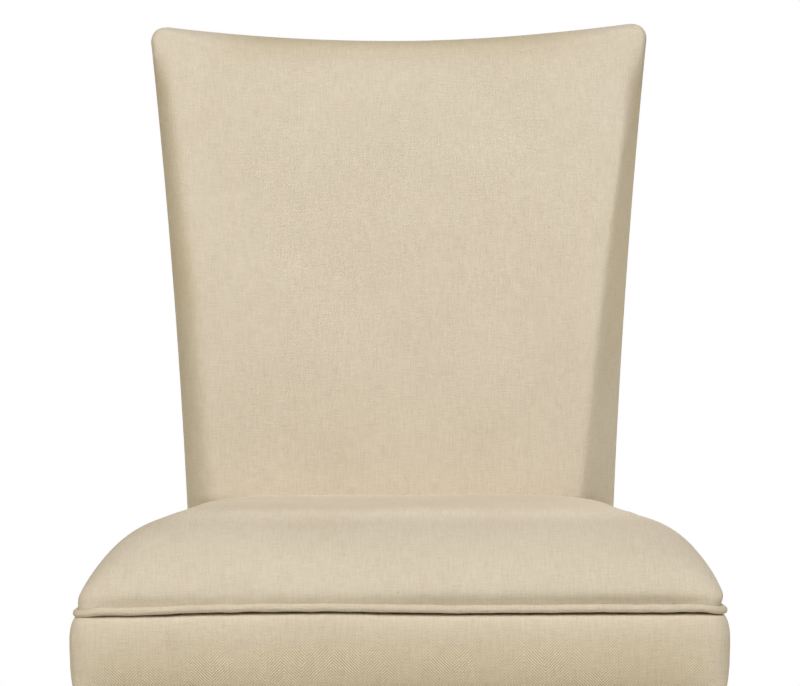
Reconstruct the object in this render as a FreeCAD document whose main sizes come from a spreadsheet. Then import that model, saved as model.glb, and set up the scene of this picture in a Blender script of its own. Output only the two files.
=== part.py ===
import FreeCAD, Part
import math
import os
import Sketcher

# Upholstered dining chair with a flared, concave-crested back, a domed seat, a welted rail and sabre legs.
# It faces -Y and stands on z = 0; the origin is on the floor in the middle of its footprint.
# Left and right are as seen from the front, so left is -X.

# Driving sizes in millimetres
SIZES = {
    # seat plan over the upholstery
    "seat_front_width": 536.0,
    "seat_rear_width": 420.0,
    "seat_length": 520.0,
    "seat_corner_radius": 21.0,
    # heights
    "rail_bottom": 362.0,
    "rail_height": 75.0,
    "welt_rise": 5.5,
    "seat_dome_rise": 69.0,
    "seat_dome_run": 114.0,
    "seat_side_run": 90.0,
    "seat_crown_depth": 200.0,
    "seat_edge_tuck": 4.5,
    "seat_waist_rise": 46.0,
    "back_height": 953.0,
    # padding and cloth
    "rail_padding": 8.0,
    "rail_bulge": 3.0,
    "cloth": 1.2,
    "wadding": 5.0,
    "seam_gap": 0.2,
    "cushion_gap": 0.4,
    "welt_diameter": 6.4,
    "welt_cord": 4.0,
    "welt_inset": 5.0,
    "cloth_return": 20.0,
    # back
    "back_top_width": 498.0,
    "back_seat_width": 416.0,
    "back_flare_sag": 5.0,
    "back_padding_seat": 34.0,
    "back_padding_top": 20.0,
    "back_bevel_seat": 25.0,
    "back_bevel_top": 11.0,
    "back_corner_radius": 18.0,
    "crest_dip": 15.0,
    "crest_padding": 22.0,
    # rear posts
    "post_depth": 44.0,
    "post_width": 38.0,
    "post_top_depth": 27.0,
    "post_top_width": 30.0,
    "post_lean": 92.0,
    "rear_foot_sweep": 80.0,
    "rear_foot_depth": 28.0,
    "rear_foot_width": 28.0,
    "rear_foot_tuck": 3.0,
    # front legs
    "leg_width": 44.0,
    "front_foot_width": 27.0,
    "front_foot_tuck": 4.0,
    "front_toe_sweep": 14.0,
    "leg_edge_round": 3.0,
    # rails and blocks
    "rail_thickness": 25.0,
    "crest_rail_height": 62.0,
    "crest_rail_setback": 2.0,
    "lower_rail_height": 45.0,
    "lower_rail_lift": 10.0,
    "block_reach": 68.0,
    "block_height": 45.0,
    "block_lift": 12.0,
    # dowels and screws
    "dowel_diameter": 10.0,
    "dowel_length": 50.0,
    "dowel_chamfer": 1.0,
    "dowel_spread": 36.0,
    "dowel_stagger": 12.0,
    "dowel_play": 0.1,
    "dowel_end_play": 1.0,
    "screw_diameter": 4.5,
    "screw_head": 9.0,
    "screw_length": 40.0,
    "screw_recess": 10.0,
    "screw_play": 0.1,
    # webbing and sheets
    "strap_width": 50.0,
    "strap_thickness": 1.6,
    "strap_wave": 2.3,
    "strap_margin": 3.0,
    "lengthwise_pitch": 84.0,
    "crosswise_pitch": 92.0,
    "back_strap_pitch": 92.0,
    "hessian": 0.8,
    "dust_cloth": 0.8,
    "dust_inset": 14.0,
    # glides
    "glide_height": 5.0,
    "glide_diameter": 21.0,
    "glide_face": 17.0,
    "nail_diameter": 2.6,
    "nail_length": 18.0,
}

doc = FreeCAD.newDocument("DiningChair")
sheet = doc.addObject("Spreadsheet::Sheet", "Sizes")
for row, (alias, number) in enumerate(SIZES.items(), 1):
    sheet.set("A%d" % row, alias)
    sheet.set("B%d" % row, str(number))
    sheet.setAlias("B%d" % row, alias)
doc.recompute()

PARTS = []
SIDES = (("left", -1), ("right", 1))


class Size:
    """A length that carries its value together with the sheet expression it comes from."""

    def __init__(self, text, value):
        self.text = text
        self.value = value

    def join(self, sign, other, value):
        return Size("(%s %s %s)" % (self.text, sign, other.text), value)

    def __add__(self, other):
        other = as_size(other)
        return self.join("+", other, self.value + other.value)

    def __sub__(self, other):
        other = as_size(other)
        return self.join("-", other, self.value - other.value)

    def __mul__(self, other):
        other = as_size(other)
        return self.join("*", other, self.value * other.value)

    def __truediv__(self, other):
        other = as_size(other)
        return self.join("/", other, self.value / other.value)

    def __radd__(self, other):
        return as_size(other) + self

    def __rsub__(self, other):
        return as_size(other) - self

    def __rmul__(self, other):
        return as_size(other) * self

    def __neg__(self):
        return as_size(-1) * self


def as_size(number):
    if isinstance(number, Size):
        return number
    return Size("(%r)" % float(number), float(number))


def size(alias):
    return Size("Sizes." + alias, float(sheet.get(alias)))


def root(number):
    return Size("sqrt(%s)" % number.text, math.sqrt(number.value))


def bind(obj, prop, number):
    obj.setExpression(prop, number.text)


# Sketch helpers


def sketch(body, role, offset=None):
    """A sketch on one of the body's own planes, moved along that world axis by offset."""
    made = body.newObject("Sketcher::SketchObject", body.Name + "_sketch")
    plane = [item for item in body.Origin.OriginFeatures if item.Role == role][0]
    made.AttachmentSupport = [(plane, "")]
    made.MapMode = "FlatFace"
    if offset is not None:
        if role == "XZ_Plane":
            offset = -offset
        made.AttachmentOffset = FreeCAD.Placement(FreeCAD.Vector(0, 0, offset.value), FreeCAD.Rotation())
        bind(made, "AttachmentOffset.Base.z", offset)
    return made


def pin(drawing, item, corner, spot):
    """Hold one point of a sketch at bound coordinates."""
    for kind, number in zip(("DistanceX", "DistanceY"), spot):
        index = drawing.addConstraint(Sketcher.Constraint(kind, -1, 1, item, corner, number.value))
        bind(drawing, "Constraints[%d]" % index, number)


def arc_between(start, end, radius, turn):
    """The short arc from start to end; turn 1 runs anticlockwise, -1 clockwise."""
    chord = end - start
    half = chord.Length / 2
    normal = FreeCAD.Vector(-chord.y, chord.x, 0).normalize()
    centre = start + chord * 0.5 + normal * (turn * math.sqrt(radius * radius - half * half))
    first, last = (start, end) if turn > 0 else (end, start)
    from_angle = math.atan2(first.y - centre.y, first.x - centre.x)
    to_angle = math.atan2(last.y - centre.y, last.x - centre.x)
    if to_angle < from_angle:
        to_angle += 2 * math.pi
    circle = Part.Circle(centre, FreeCAD.Vector(0, 0, 1), radius)
    return Part.ArcOfCircle(circle, from_angle, to_angle)


def outline(drawing, spots, arcs=None, closed=True):
    """Lines through the spots; arcs gives (radius, turn) for the edge that leaves a spot."""
    spots = [(as_size(first), as_size(second)) for first, second in spots]
    arcs = arcs or {}
    count = len(spots)
    edges = []
    for index in range(count if closed else count - 1):
        begin = FreeCAD.Vector(spots[index][0].value, spots[index][1].value, 0)
        following = spots[(index + 1) % count]
        end = FreeCAD.Vector(following[0].value, following[1].value, 0)
        if index in arcs:
            radius, turn = arcs[index]
            item = drawing.addGeometry(arc_between(begin, end, radius.value, turn), False)
            edges.append((item, 1, 2) if turn > 0 else (item, 2, 1))
        else:
            item = drawing.addGeometry(Part.LineSegment(begin, end), False)
            edges.append((item, 1, 2))
    for index, edge in enumerate(edges):
        if closed or index + 1 < len(edges):
            following = edges[(index + 1) % len(edges)]
            drawing.addConstraint(Sketcher.Constraint("Coincident", edge[0], edge[2], following[0], following[1]))
    for index, edge in enumerate(edges):
        pin(drawing, edge[0], edge[1], spots[index])
    if not closed:
        pin(drawing, edges[-1][0], edges[-1][2], spots[-1])
    for index in arcs:
        radius = arcs[index][0]
        place = drawing.addConstraint(Sketcher.Constraint("Radius", edges[index][0], radius.value))
        bind(drawing, "Constraints[%d]" % place, radius)


def circle(drawing, spot, radius):
    spot = (as_size(spot[0]), as_size(spot[1]))
    middle = FreeCAD.Vector(spot[0].value, spot[1].value, 0)
    item = drawing.addGeometry(Part.Circle(middle, FreeCAD.Vector(0, 0, 1), radius.value), False)
    pin(drawing, item, 3, spot)
    place = drawing.addConstraint(Sketcher.Constraint("Radius", item, radius.value))
    bind(drawing, "Constraints[%d]" % place, radius)


# Feature helpers


def new_body(label, listed=True):
    body = doc.addObject("PartDesign::Body", label)
    body.Label = label
    if listed:
        PARTS.append(body)
    return body


def extrude(body, kind, drawing, length, symmetric=True):
    feature = body.newObject("PartDesign::" + kind, body.Name + "_" + kind)
    feature.Profile = drawing
    if symmetric:
        feature.SideType = "Symmetric"
    feature.Length = length.value
    bind(feature, "Length", length)
    doc.recompute()
    return feature


def loft(body, kind, drawings, ruled=False):
    feature = body.newObject("PartDesign::" + kind, body.Name + "_" + kind)
    feature.Profile = drawings[0]
    feature.Sections = drawings[1:]
    feature.Ruled = ruled
    doc.recompute()
    return feature


def pipe(body, drawing, spine):
    feature = body.newObject("PartDesign::AdditivePipe", body.Name + "_pipe")
    feature.Profile = drawing
    feature.Spine = (spine, ["Edge%d" % (number + 1) for number in range(spine.GeometryCount)])
    doc.recompute()
    return feature


def revolve(body, drawing, axis):
    feature = body.newObject("PartDesign::Revolution", body.Name + "_turning")
    feature.Profile = drawing
    feature.ReferenceAxis = (drawing, [axis])
    feature.Angle = 360
    doc.recompute()
    return feature


def round_edges(body, radius, wanted):
    """Round those edges of the body's last feature that the wanted test picks."""
    base = body.Tip
    names = ["Edge%d" % number for number, edge in enumerate(base.Shape.Edges, 1) if wanted(edge)]
    feature = body.newObject("PartDesign::Fillet", body.Name + "_rounding")
    feature.Base = (base, names)
    feature.Radius = radius.value
    bind(feature, "Radius", radius)
    doc.recompute()
    return feature


def drill(body, role, plane, spots, radius, depth):
    """Round holes running depth to both sides of a plane."""
    drawing = sketch(body, role, plane)
    for spot in spots:
        circle(drawing, spot, radius)
    return extrude(body, "Pocket", drawing, depth * 2)


def cut(label, base, tools, listed=True):
    tool = tools[0]
    if len(tools) > 1:
        tool = doc.addObject("Part::MultiFuse", label + "_tools")
        tool.Shapes = tools
    made = doc.addObject("Part::Cut", label)
    made.Base = base
    made.Tool = tool
    made.Label = label
    doc.recompute()
    if listed:
        PARTS.append(made)
    return made


def group(label, sample, places):
    """One node with a copy of the sample at each place, as linked copies with bound positions."""
    links = []
    for spot, rotation in places:
        link = doc.addObject("App::Link", label + "_item")
        link.setLink(sample)
        base = FreeCAD.Vector(*[as_size(number).value for number in spot])
        link.Placement = FreeCAD.Placement(base, rotation)
        for axis, number in zip("xyz", spot):
            bind(link, "Placement.Base." + axis, as_size(number))
        links.append(link)
    made = doc.addObject("Part::Compound", label)
    made.Links = links
    made.Label = label
    doc.recompute()
    PARTS.append(made)
    return made


# Derived sizes shared by the pieces
half_front = size("seat_front_width") / 2
half_rear = size("seat_rear_width") / 2
length = size("seat_length")
padding = size("rail_padding")
cloth = size("cloth")
wadding = size("wadding")
gap = size("seam_gap")
narrowing = (half_front - half_rear) / length
slant = root(1 + narrowing * narrowing)
rail_bottom = size("rail_bottom")
rail_top = rail_bottom + size("rail_height")
welt_z = rail_top + size("welt_rise")
foot_z = size("glide_height")
back_top = size("back_height")
leg_width = size("leg_width")
post_depth = size("post_depth")
post_width = size("post_width")
thick = size("rail_thickness")
wide = size("seat_front_width") * 2

# Along Y the footprint runs from the front toes to the back's top rear edge
rear_lean = size("post_lean") + size("post_top_depth") - post_depth
front = (size("front_toe_sweep") - padding - length - rear_lean) / 2
rear = front + length
leg_front = front + padding
leg_rear = leg_front + leg_width
post_rear = rear - padding
post_front = post_rear - post_depth


def padded_x(y, inset=0.0):
    """Half width of the upholstered seat plan at depth y, moved inward by inset."""
    return half_front - narrowing * (y - front) - slant * inset


def rail_x(y):
    """Outer face of the side rail at depth y."""
    return padded_x(y, padding)


leg_outer = rail_x(leg_rear)
leg_inner = leg_outer - leg_width
post_outer = (rail_x(post_front) + rail_x(post_rear)) / 2
post_inner = post_outer - post_width

# The back widens from the waist, where it meets the seat crown, to its top corners
waist_z = welt_z + size("seat_waist_rise")
back_span = back_top - waist_z


def back_part(z):
    return (z - waist_z) / back_span


def back_x(z):
    """Half width of the upholstered back at height z, on a gently hollow flare."""
    low = size("back_seat_width") / 2
    high = size("back_top_width") / 2
    part = back_part(z)
    return low + (high - low) * part - size("back_flare_sag") * 4 * part * (1 - part)


def swept(start, lean, z):
    """Depth of a post face at height z: upright at the rail's top, leaning more and more above it."""
    reach = back_top - rail_top
    radius = (reach * reach + lean * lean) / (lean * 2)
    rise = z - rail_top
    return start + radius - root(radius * radius - rise * rise)


def post_front_y(z):
    return swept(post_front, size("post_lean"), z)


def post_rear_y(z):
    return swept(post_rear, rear_lean, z)


def sweep_radius(lean, reach):
    return (reach * reach + lean * lean) / (lean * 2)


def blend(low, high, z):
    return size(low) + (size(high) - size(low)) * back_part(z)


cover_base = welt_z + size("welt_diameter") / 2 + gap
back_base = cover_base + gap
shoulder_outer = back_x(back_base) - padding
shoulder_inner = shoulder_outer - post_width
post_top = back_top - size("crest_padding")
top_outer = back_x(post_top) - padding
top_inner = top_outer - size("post_top_width")


def post_inner_x(z):
    """Inner face of a back post above its shoulder."""
    return shoulder_inner + (top_inner - shoulder_inner) * (z - back_base) / (post_top - back_base)


# Dowelled joints: each entry is (x, y, z, axis) of a dowel's middle
DOWELS = []
dowel_radius = size("dowel_diameter") / 2
hole_radius = dowel_radius + size("dowel_play")
hole_depth = size("dowel_length") / 2 + size("dowel_end_play")
rail_middle = rail_bottom + size("rail_height") / 2
low_dowel = rail_middle - size("dowel_spread") / 2
high_dowel = rail_middle + size("dowel_spread") / 2
ACROSS = (low_dowel, high_dowel)
ALONG = (low_dowel + size("dowel_stagger"), high_dowel + size("dowel_stagger"))

front_rail_y = leg_front + thick / 2
rear_rail_y = post_rear - thick / 2
side_dowel_front_x = rail_x(leg_rear) - thick * slant / 2
side_dowel_rear_x = rail_x(post_front) - thick * slant / 2 - size("dowel_play") * 20

lower_rail_z = waist_z + size("lower_rail_lift")
lower_rail_top = lower_rail_z + size("lower_rail_height")
crest_rail_z = post_top - size("crest_rail_height")
LOWER_DOWELS = (lower_rail_z + size("lower_rail_height") / 4, lower_rail_top - size("lower_rail_height") / 4)
crest_middle_z = crest_rail_z + (size("crest_rail_height") - size("crest_dip")) / 2
crest_step = size("crest_rail_height") / 5
CREST_DOWELS = (crest_middle_z - crest_step, crest_middle_z + crest_step)


def back_rail_y(z):
    return (post_front_y(z) + post_rear_y(z)) / 2


# Legs: the swept, rounded lower leg is one length with the square block or back post above it
around = [(wide * -1, foot_z * -1), (wide, foot_z * -1), (wide, back_top * 2), (wide * -1, back_top * 2)]


def saw(body, plane_x, profile_spots, profile_arcs, front_spots, front_arcs=None):
    """Cut a blank to its side profile and then to its front outline."""
    profile = sketch(body, "YZ_Plane", plane_x)
    outline(profile, profile_spots, profile_arcs)
    extrude(body, "Pad", profile, size("back_top_width") / 2)
    waste = sketch(body, "XZ_Plane")
    outline(waste, front_spots, front_arcs)
    outline(waste, around)
    extrude(body, "Pocket", waste, wide * 2)


def swept_leg(label, side, foot, head, turn):
    """Lower leg from foot (near, far, inner, outer) up to head, swept in side view and rounded along its edges."""
    leg = new_body(label, listed=False)
    drop = rail_bottom - foot_z
    saw(leg, (head[2] + head[3]) * side / 2, [
        (foot[0], foot_z), (foot[1], foot_z), (head[1], rail_bottom), (head[0], rail_bottom),
    ], {
        1: (sweep_radius((head[1] - foot[1]) * turn, drop), turn),
        3: (sweep_radius((head[0] - foot[0]) * turn, drop), -turn),
    }, [
        (foot[2] * side, foot_z), (foot[3] * side, foot_z), (head[3] * side, rail_bottom), (head[2] * side, rail_bottom),
    ])
    round_edges(leg, size("leg_edge_round"), lambda edge: edge.BoundBox.ZLength > drop.value / 2)
    drill(leg, "XY_Plane", foot_z, [((foot[2] + foot[3]) * side / 2, (foot[0] + foot[1]) / 2)],
          size("nail_diameter") / 2 + gap / 4, size("nail_length") + gap)
    return leg


def join(label, lower, upper):
    made = doc.addObject("Part::Fuse", label)
    made.Base = lower
    made.Tool = upper
    made.Refine = True
    made.Label = label
    doc.recompute()
    PARTS.append(made)


front_toe = leg_front - size("front_toe_sweep")
front_heel = front_toe + size("front_foot_width")
front_foot_outer = leg_outer - size("front_foot_tuck")
front_foot_inner = front_foot_outer - size("front_foot_width")
rear_heel = post_rear + size("rear_foot_sweep")
rear_toe = rear_heel - size("rear_foot_depth")
rear_foot_outer = post_outer - size("rear_foot_tuck")
rear_foot_inner = rear_foot_outer - size("rear_foot_width")

# Front legs: square at the rail, tapering and sweeping forward to the toe
for name, side in SIDES:
    lower = swept_leg("front_leg_%s_shaft" % name, side, (front_toe, front_heel, front_foot_inner, front_foot_outer),
                      (leg_front, leg_rear, leg_inner, leg_outer), 1)
    block = new_body("front_leg_%s_block" % name, listed=False)
    plan = sketch(block, "XY_Plane", rail_middle)
    outline(plan, [
        (leg_inner * side, leg_front), (leg_outer * side, leg_front), (leg_outer * side, leg_rear), (leg_inner * side, leg_rear),
    ])
    extrude(block, "Pad", plan, size("rail_height"))
    drill(block, "YZ_Plane", leg_inner * side, [(front_rail_y, z) for z in ACROSS], hole_radius, hole_depth)
    drill(block, "XZ_Plane", leg_rear, [(side_dowel_front_x * side, z) for z in ALONG], hole_radius, hole_depth)
    join("front_leg_" + name, lower, block)
    DOWELS.extend((leg_inner * side, front_rail_y, z, "x") for z in ACROSS)
    DOWELS.extend((side_dowel_front_x * side, leg_rear, z, "y") for z in ALONG)

# Rear posts: sabre leg and flared, raked back post sawn from one piece
for name, side in SIDES:
    lower = swept_leg("rear_post_%s_leg" % name, side, (rear_toe, rear_heel, rear_foot_inner, rear_foot_outer),
                      (post_front, post_rear, post_inner, post_outer), -1)
    stile = new_body("rear_post_%s_stile" % name, listed=False)
    reach = back_top - rail_top
    rise = post_top - back_base
    run = top_outer - shoulder_outer
    hollow = size("back_flare_sag") * rise * rise / (back_span * back_span)
    flare = ((rise * rise + run * run) / 4 + hollow * hollow) / (hollow * 2)
    saw(stile, (shoulder_outer - post_width / 2) * side, [
        (post_front, rail_bottom), (post_rear, rail_bottom), (post_rear, rail_top),
        (post_rear_y(post_top), post_top), (post_front_y(post_top), post_top), (post_front, rail_top),
    ], {
        2: (sweep_radius(rear_lean, reach), -1), 4: (sweep_radius(size("post_lean"), reach), 1),
    }, [
        (post_inner * side, rail_bottom), (post_outer * side, rail_bottom), (post_outer * side, rail_top),
        (shoulder_outer * side, back_base), (top_outer * side, post_top), (top_inner * side, post_top),
        (shoulder_inner * side, back_base), (post_inner * side, rail_top),
    ], {3: (flare, -side)})
    drill(stile, "YZ_Plane", post_inner * side, [(rear_rail_y, z) for z in ACROSS], hole_radius, hole_depth)
    drill(stile, "XZ_Plane", post_front, [(side_dowel_rear_x * side, z) for z in ALONG], hole_radius, hole_depth)
    for z in LOWER_DOWELS + CREST_DOWELS:
        drill(stile, "YZ_Plane", post_inner_x(z) * side, [(back_rail_y(z), z)], hole_radius, hole_depth)
    join("rear_post_" + name, lower, stile)
    DOWELS.extend((post_inner * side, rear_rail_y, z, "x") for z in ACROSS)
    DOWELS.extend((side_dowel_rear_x * side, post_front, z, "y") for z in ALONG)
    DOWELS.extend((post_inner_x(z) * side, back_rail_y(z), z, "x") for z in LOWER_DOWELS + CREST_DOWELS)

# Front and rear seat rails, butted between the legs and dowelled
for label, end_x, middle_y in (("front_rail", leg_inner, front_rail_y), ("rear_rail", post_inner, rear_rail_y)):
    rail = new_body(label)
    plan = sketch(rail, "XY_Plane", rail_middle)
    near = middle_y - thick / 2
    far = middle_y + thick / 2
    outline(plan, [(-end_x, near), (end_x, near), (end_x, far), (-end_x, far)])
    extrude(rail, "Pad", plan, size("rail_height"))
    for name, side in SIDES:
        drill(rail, "YZ_Plane", end_x * side, [(middle_y, z) for z in ACROSS], hole_radius, hole_depth)

# Side rails, following the narrowing plan
for name, side in SIDES:
    rail = new_body("side_rail_" + name)
    plan = sketch(rail, "XY_Plane", rail_middle)
    outline(plan, [
        (rail_x(leg_rear) * side, leg_rear), (rail_x(post_front) * side, post_front),
        ((rail_x(post_front) - thick * slant) * side, post_front),
        ((rail_x(leg_rear) - thick * slant) * side, leg_rear),
    ])
    extrude(rail, "Pad", plan, size("rail_height"))
    drill(rail, "XZ_Plane", leg_rear, [(side_dowel_front_x * side, z) for z in ALONG], hole_radius, hole_depth)
    drill(rail, "XZ_Plane", post_front, [(side_dowel_rear_x * side, z) for z in ALONG], hole_radius, hole_depth)

# Back rails between the posts: a straight lower one and a hollow-topped crest
setback = size("crest_rail_setback")
dip = size("crest_dip")
crest_reach = post_inner_x(post_top)
crest_hollow = {2: ((crest_reach * crest_reach + dip * dip) / (dip * 2), -1)}
for label, low, high, arcs, spots in (
        ("lower_back_rail", lower_rail_z, lower_rail_top, None, LOWER_DOWELS),
        ("crest_rail", crest_rail_z, post_top, crest_hollow, CREST_DOWELS)):
    rail = new_body(label)
    profile = sketch(rail, "YZ_Plane")
    outline(profile, [
        (post_front_y(low) + setback, low), (post_rear_y(low) - setback, low),
        (post_rear_y(high) - setback, high), (post_front_y(high) + setback, high),
    ])
    extrude(rail, "Pad", profile, size("back_top_width"))
    waste = sketch(rail, "XZ_Plane")
    outline(waste, [
        (-post_inner_x(low), low), (post_inner_x(low), low), (post_inner_x(high), high), (-post_inner_x(high), high),
    ], arcs)
    outline(waste, around)
    extrude(rail, "Pocket", waste, wide * 2)
    for name, side in SIDES:
        for z in spots:
            drill(rail, "YZ_Plane", post_inner_x(z) * side, [(back_rail_y(z), z)], hole_radius, hole_depth)

# Dowels
dowel = new_body("dowel", listed=False)
profile = sketch(dowel, "XZ_Plane")
half_dowel = size("dowel_length") / 2
chamfer = size("dowel_chamfer")
outline(profile, [
    (0, -half_dowel), (dowel_radius - chamfer, -half_dowel), (dowel_radius, chamfer - half_dowel),
    (dowel_radius, half_dowel - chamfer), (dowel_radius - chamfer, half_dowel), (0, half_dowel),
])
revolve(dowel, profile, "V_Axis")
TURNS = {
    "x": FreeCAD.Rotation(FreeCAD.Vector(0, 1, 0), 90),
    "y": FreeCAD.Rotation(FreeCAD.Vector(1, 0, 0), 90),
}
group("frame_dowels", dowel, [((x, y, z), TURNS[axis]) for x, y, z, axis in DOWELS])

# Corner blocks, notched round the legs and screwed to both rails
SCREWS = []
block_middle = rail_bottom + size("block_lift") + size("block_height") / 2
reach = size("block_reach")
recess = size("screw_recess")
for end in ("front", "rear"):
    for name, side in SIDES:
        block = new_body("corner_block_%s_%s" % (end, name))
        if end == "front":
            way = 1
            rail_face = leg_front + thick
            leg_face = leg_rear
            inner = leg_inner
        else:
            way = -1
            rail_face = post_rear - thick
            leg_face = post_front
            inner = post_inner
        along = leg_face + reach * way
        plan = sketch(block, "XY_Plane", block_middle)
        outline(plan, [
            ((inner - reach) * side, rail_face), (inner * side, rail_face), (inner * side, leg_face),
            ((rail_x(leg_face) - thick * slant) * side, leg_face),
            ((rail_x(along) - thick * slant) * side, along),
        ])
        extrude(block, "Pad", plan, size("block_height"))
        # one screw runs along Y into the cross rail, the other along X into the side rail
        corner_x = rail_x(along) - thick * slant
        share = 0.5
        first_x = inner - reach * share
        first_y = rail_face + (along - rail_face) * (first_x - inner + reach) / (corner_x - inner + reach)
        second_y = leg_face + reach * share * way
        second_x = inner - reach + (corner_x - inner + reach) * (second_y - rail_face) / (along - rail_face)
        first_head = first_y - recess * way
        second_head = second_x + recess
        for role, plane, spot in (("XZ_Plane", first_head, (first_x * side, block_middle)),
                                  ("YZ_Plane", second_head * side, (second_y, block_middle))):
            drill(block, role, plane, [spot], size("screw_diameter") / 2 + size("screw_play"), reach)
            shift = reach / 2
            if role == "XZ_Plane":
                drill(block, role, plane + shift * way, [spot], size("screw_head") / 2 + size("screw_play"), shift)
            else:
                drill(block, role, plane - shift * side, [spot], size("screw_head") / 2 + size("screw_play"), shift)
        SCREWS.append(((first_x * side, first_head, block_middle), FreeCAD.Vector(0, -way, 0)))
        SCREWS.append(((second_head * side, second_y, block_middle), FreeCAD.Vector(side, 0, 0)))
        pilot = size("screw_diameter") / 2 + size("screw_play")
        cross_rail = doc.getObject(end + "_rail")
        drill(cross_rail, "XZ_Plane", first_head, [(first_x * side, block_middle)], pilot, size("screw_length") + gap)
        side_rail = doc.getObject("side_rail_" + name)
        drill(side_rail, "YZ_Plane", second_head * side, [(second_y, block_middle)], pilot, size("screw_length") + gap)

screw = new_body("wood_screw", listed=False)
profile = sketch(screw, "XZ_Plane")
shank = size("screw_diameter") / 2
head = size("screw_head") / 2
outline(profile, [
    (0, -head * 0.55), (head, -head * 0.55), (head, -head * 0.45), (shank, 0), (shank, size("screw_length") * 0.85),
    (0, size("screw_length")),
])
revolve(screw, profile, "V_Axis")
UP = FreeCAD.Vector(0, 0, 1)
group("corner_block_screws", screw, [(spot, FreeCAD.Rotation(UP, way)) for spot, way in SCREWS])

# Nail-on glides under the four feet
FEET = (
    ("front", (front_foot_inner + front_foot_outer) / 2, (front_toe + front_heel) / 2),
    ("rear", (rear_foot_inner + rear_foot_outer) / 2, (rear_toe + rear_heel) / 2),
)
for end, foot_x, foot_y in FEET:
    for name, side in SIDES:
        glide = new_body("glide_%s_%s" % (end, name))
        profile = sketch(glide, "XZ_Plane", foot_y)
        middle = foot_x * side
        nail = size("nail_diameter") / 2 * side
        outline(profile, [
            (middle, 0), (middle + size("glide_face") / 2 * side, 0), (middle + size("glide_diameter") / 2 * side, foot_z / 2),
            (middle + size("glide_diameter") / 2 * side, foot_z), (middle + nail, foot_z),
            (middle + nail, foot_z + size("nail_length") * 0.8), (middle, foot_z + size("nail_length")),
        ])
        turning = glide.newObject("PartDesign::Revolution", glide.Name + "_turning")
        turning.Profile = profile
        turning.ReferenceAxis = (profile, ["Edge7"])
        turning.Angle = 360
        doc.recompute()

doc.recompute()

# Upholstery helpers


def seat_plan(drawing, inset, corner, back_y, side_inset=None):
    """Seat outline moved inward by inset, with rounded front corners and a straight rear edge at back_y."""
    inset = as_size(inset)
    side_inset = inset if side_inset is None else side_inset
    near = front + inset
    corner_x = padded_x(near, side_inset)
    tangent = corner * (slant + narrowing)
    turn_x = corner_x - tangent * narrowing / slant
    turn_y = near + tangent / slant
    rear_x = padded_x(back_y, side_inset)
    outline(drawing, [
        (tangent - corner_x, near), (corner_x - tangent, near), (turn_x, turn_y), (rear_x, back_y),
        (-rear_x, back_y), (-turn_x, turn_y),
    ], {1: (corner, 1), 5: (corner, 1)})


# The dome's profile: share of its height, of the front run, of the side run and of the fall to the rear
DOME_STEPS = (
    (0.0, 0.0, 0.0, 0.0), (0.3, 0.065, 0.032, 0.0), (0.55, 0.206, 0.136, 0.0), (0.75, 0.395, 0.318, 0.0),
    (0.9, 0.64, 0.62, 0.7), (1.0, 1.0, 1.0, 1.0),
)


def dome(label, inset, base_z, back_y):
    """Crowned seat volume: steep at the edge, highest behind the front roll, falling to the rear; inset thins it."""
    body = new_body(label, listed=False)
    inset = as_size(inset)
    edge = inset + size("seat_edge_tuck")
    top = welt_z + size("seat_dome_rise") - inset
    crown_y = front + size("seat_crown_depth")
    sections = []
    for high, front_part, side_part, rear_part in DOME_STEPS:
        drawing = sketch(body, "XY_Plane", base_z + (top - base_z) * high)
        front_run = size("seat_dome_run") * front_part
        side_run = size("seat_side_run") * side_part
        corner = size("seat_corner_radius") + front_run * 0.3 - inset
        seat_plan(drawing, edge + front_run, corner, back_y + (crown_y - back_y) * rear_part, edge + side_run)
        sections.append(drawing)
    loft(body, "AdditiveLoft", sections, ruled=True)
    return body


def back_face_y(z):
    """Front face of the upholstered back."""
    return post_front_y(z) - blend("back_padding_seat", "back_padding_top", z)


def back_rear_y(z):
    return post_rear_y(z) + padding


LEVELS = (0.0, 0.25, 0.5, 0.75, 1.0)


def crest_waste(body, inset):
    """Take away what lies above the hollow crest and outside its rounded corners."""
    inset = as_size(inset)
    dip = size("crest_dip")
    corner_x = back_x(back_top) - inset
    corner_z = back_top - inset
    radius = size("back_corner_radius") - inset
    fall = dip * 2 / corner_x
    steep = (size("back_top_width") - size("back_seat_width")) / 2 / back_span
    steep = steep + size("back_flare_sag") * 4 / back_span
    fall_run = root(1 + fall * fall)
    steep_run = root(1 + steep * steep)
    bend = (fall + steep) / (1 - fall * steep)
    tangent = radius * (root(1 + bend * bend) + bend)
    crest_x = corner_x - tangent / fall_run
    crest_z = corner_z - tangent * fall / fall_run
    side_x = corner_x - tangent * steep / steep_run
    side_z = corner_z - tangent / steep_run
    sag = crest_z - back_top + inset + dip
    hollow = (crest_x * crest_x + sag * sag) / (sag * 2)
    drawing = sketch(body, "XZ_Plane")
    outline(drawing, [
        (side_x, side_z), (wide, side_z), (wide, back_top * 2), (-wide, back_top * 2), (-wide, side_z),
        (-side_x, side_z), (-crest_x, crest_z), (crest_x, crest_z),
    ], {5: (radius, -1), 6: (hollow, 1), 7: (radius, -1)})
    extrude(body, "Pocket", drawing, wide * 2)


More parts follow.
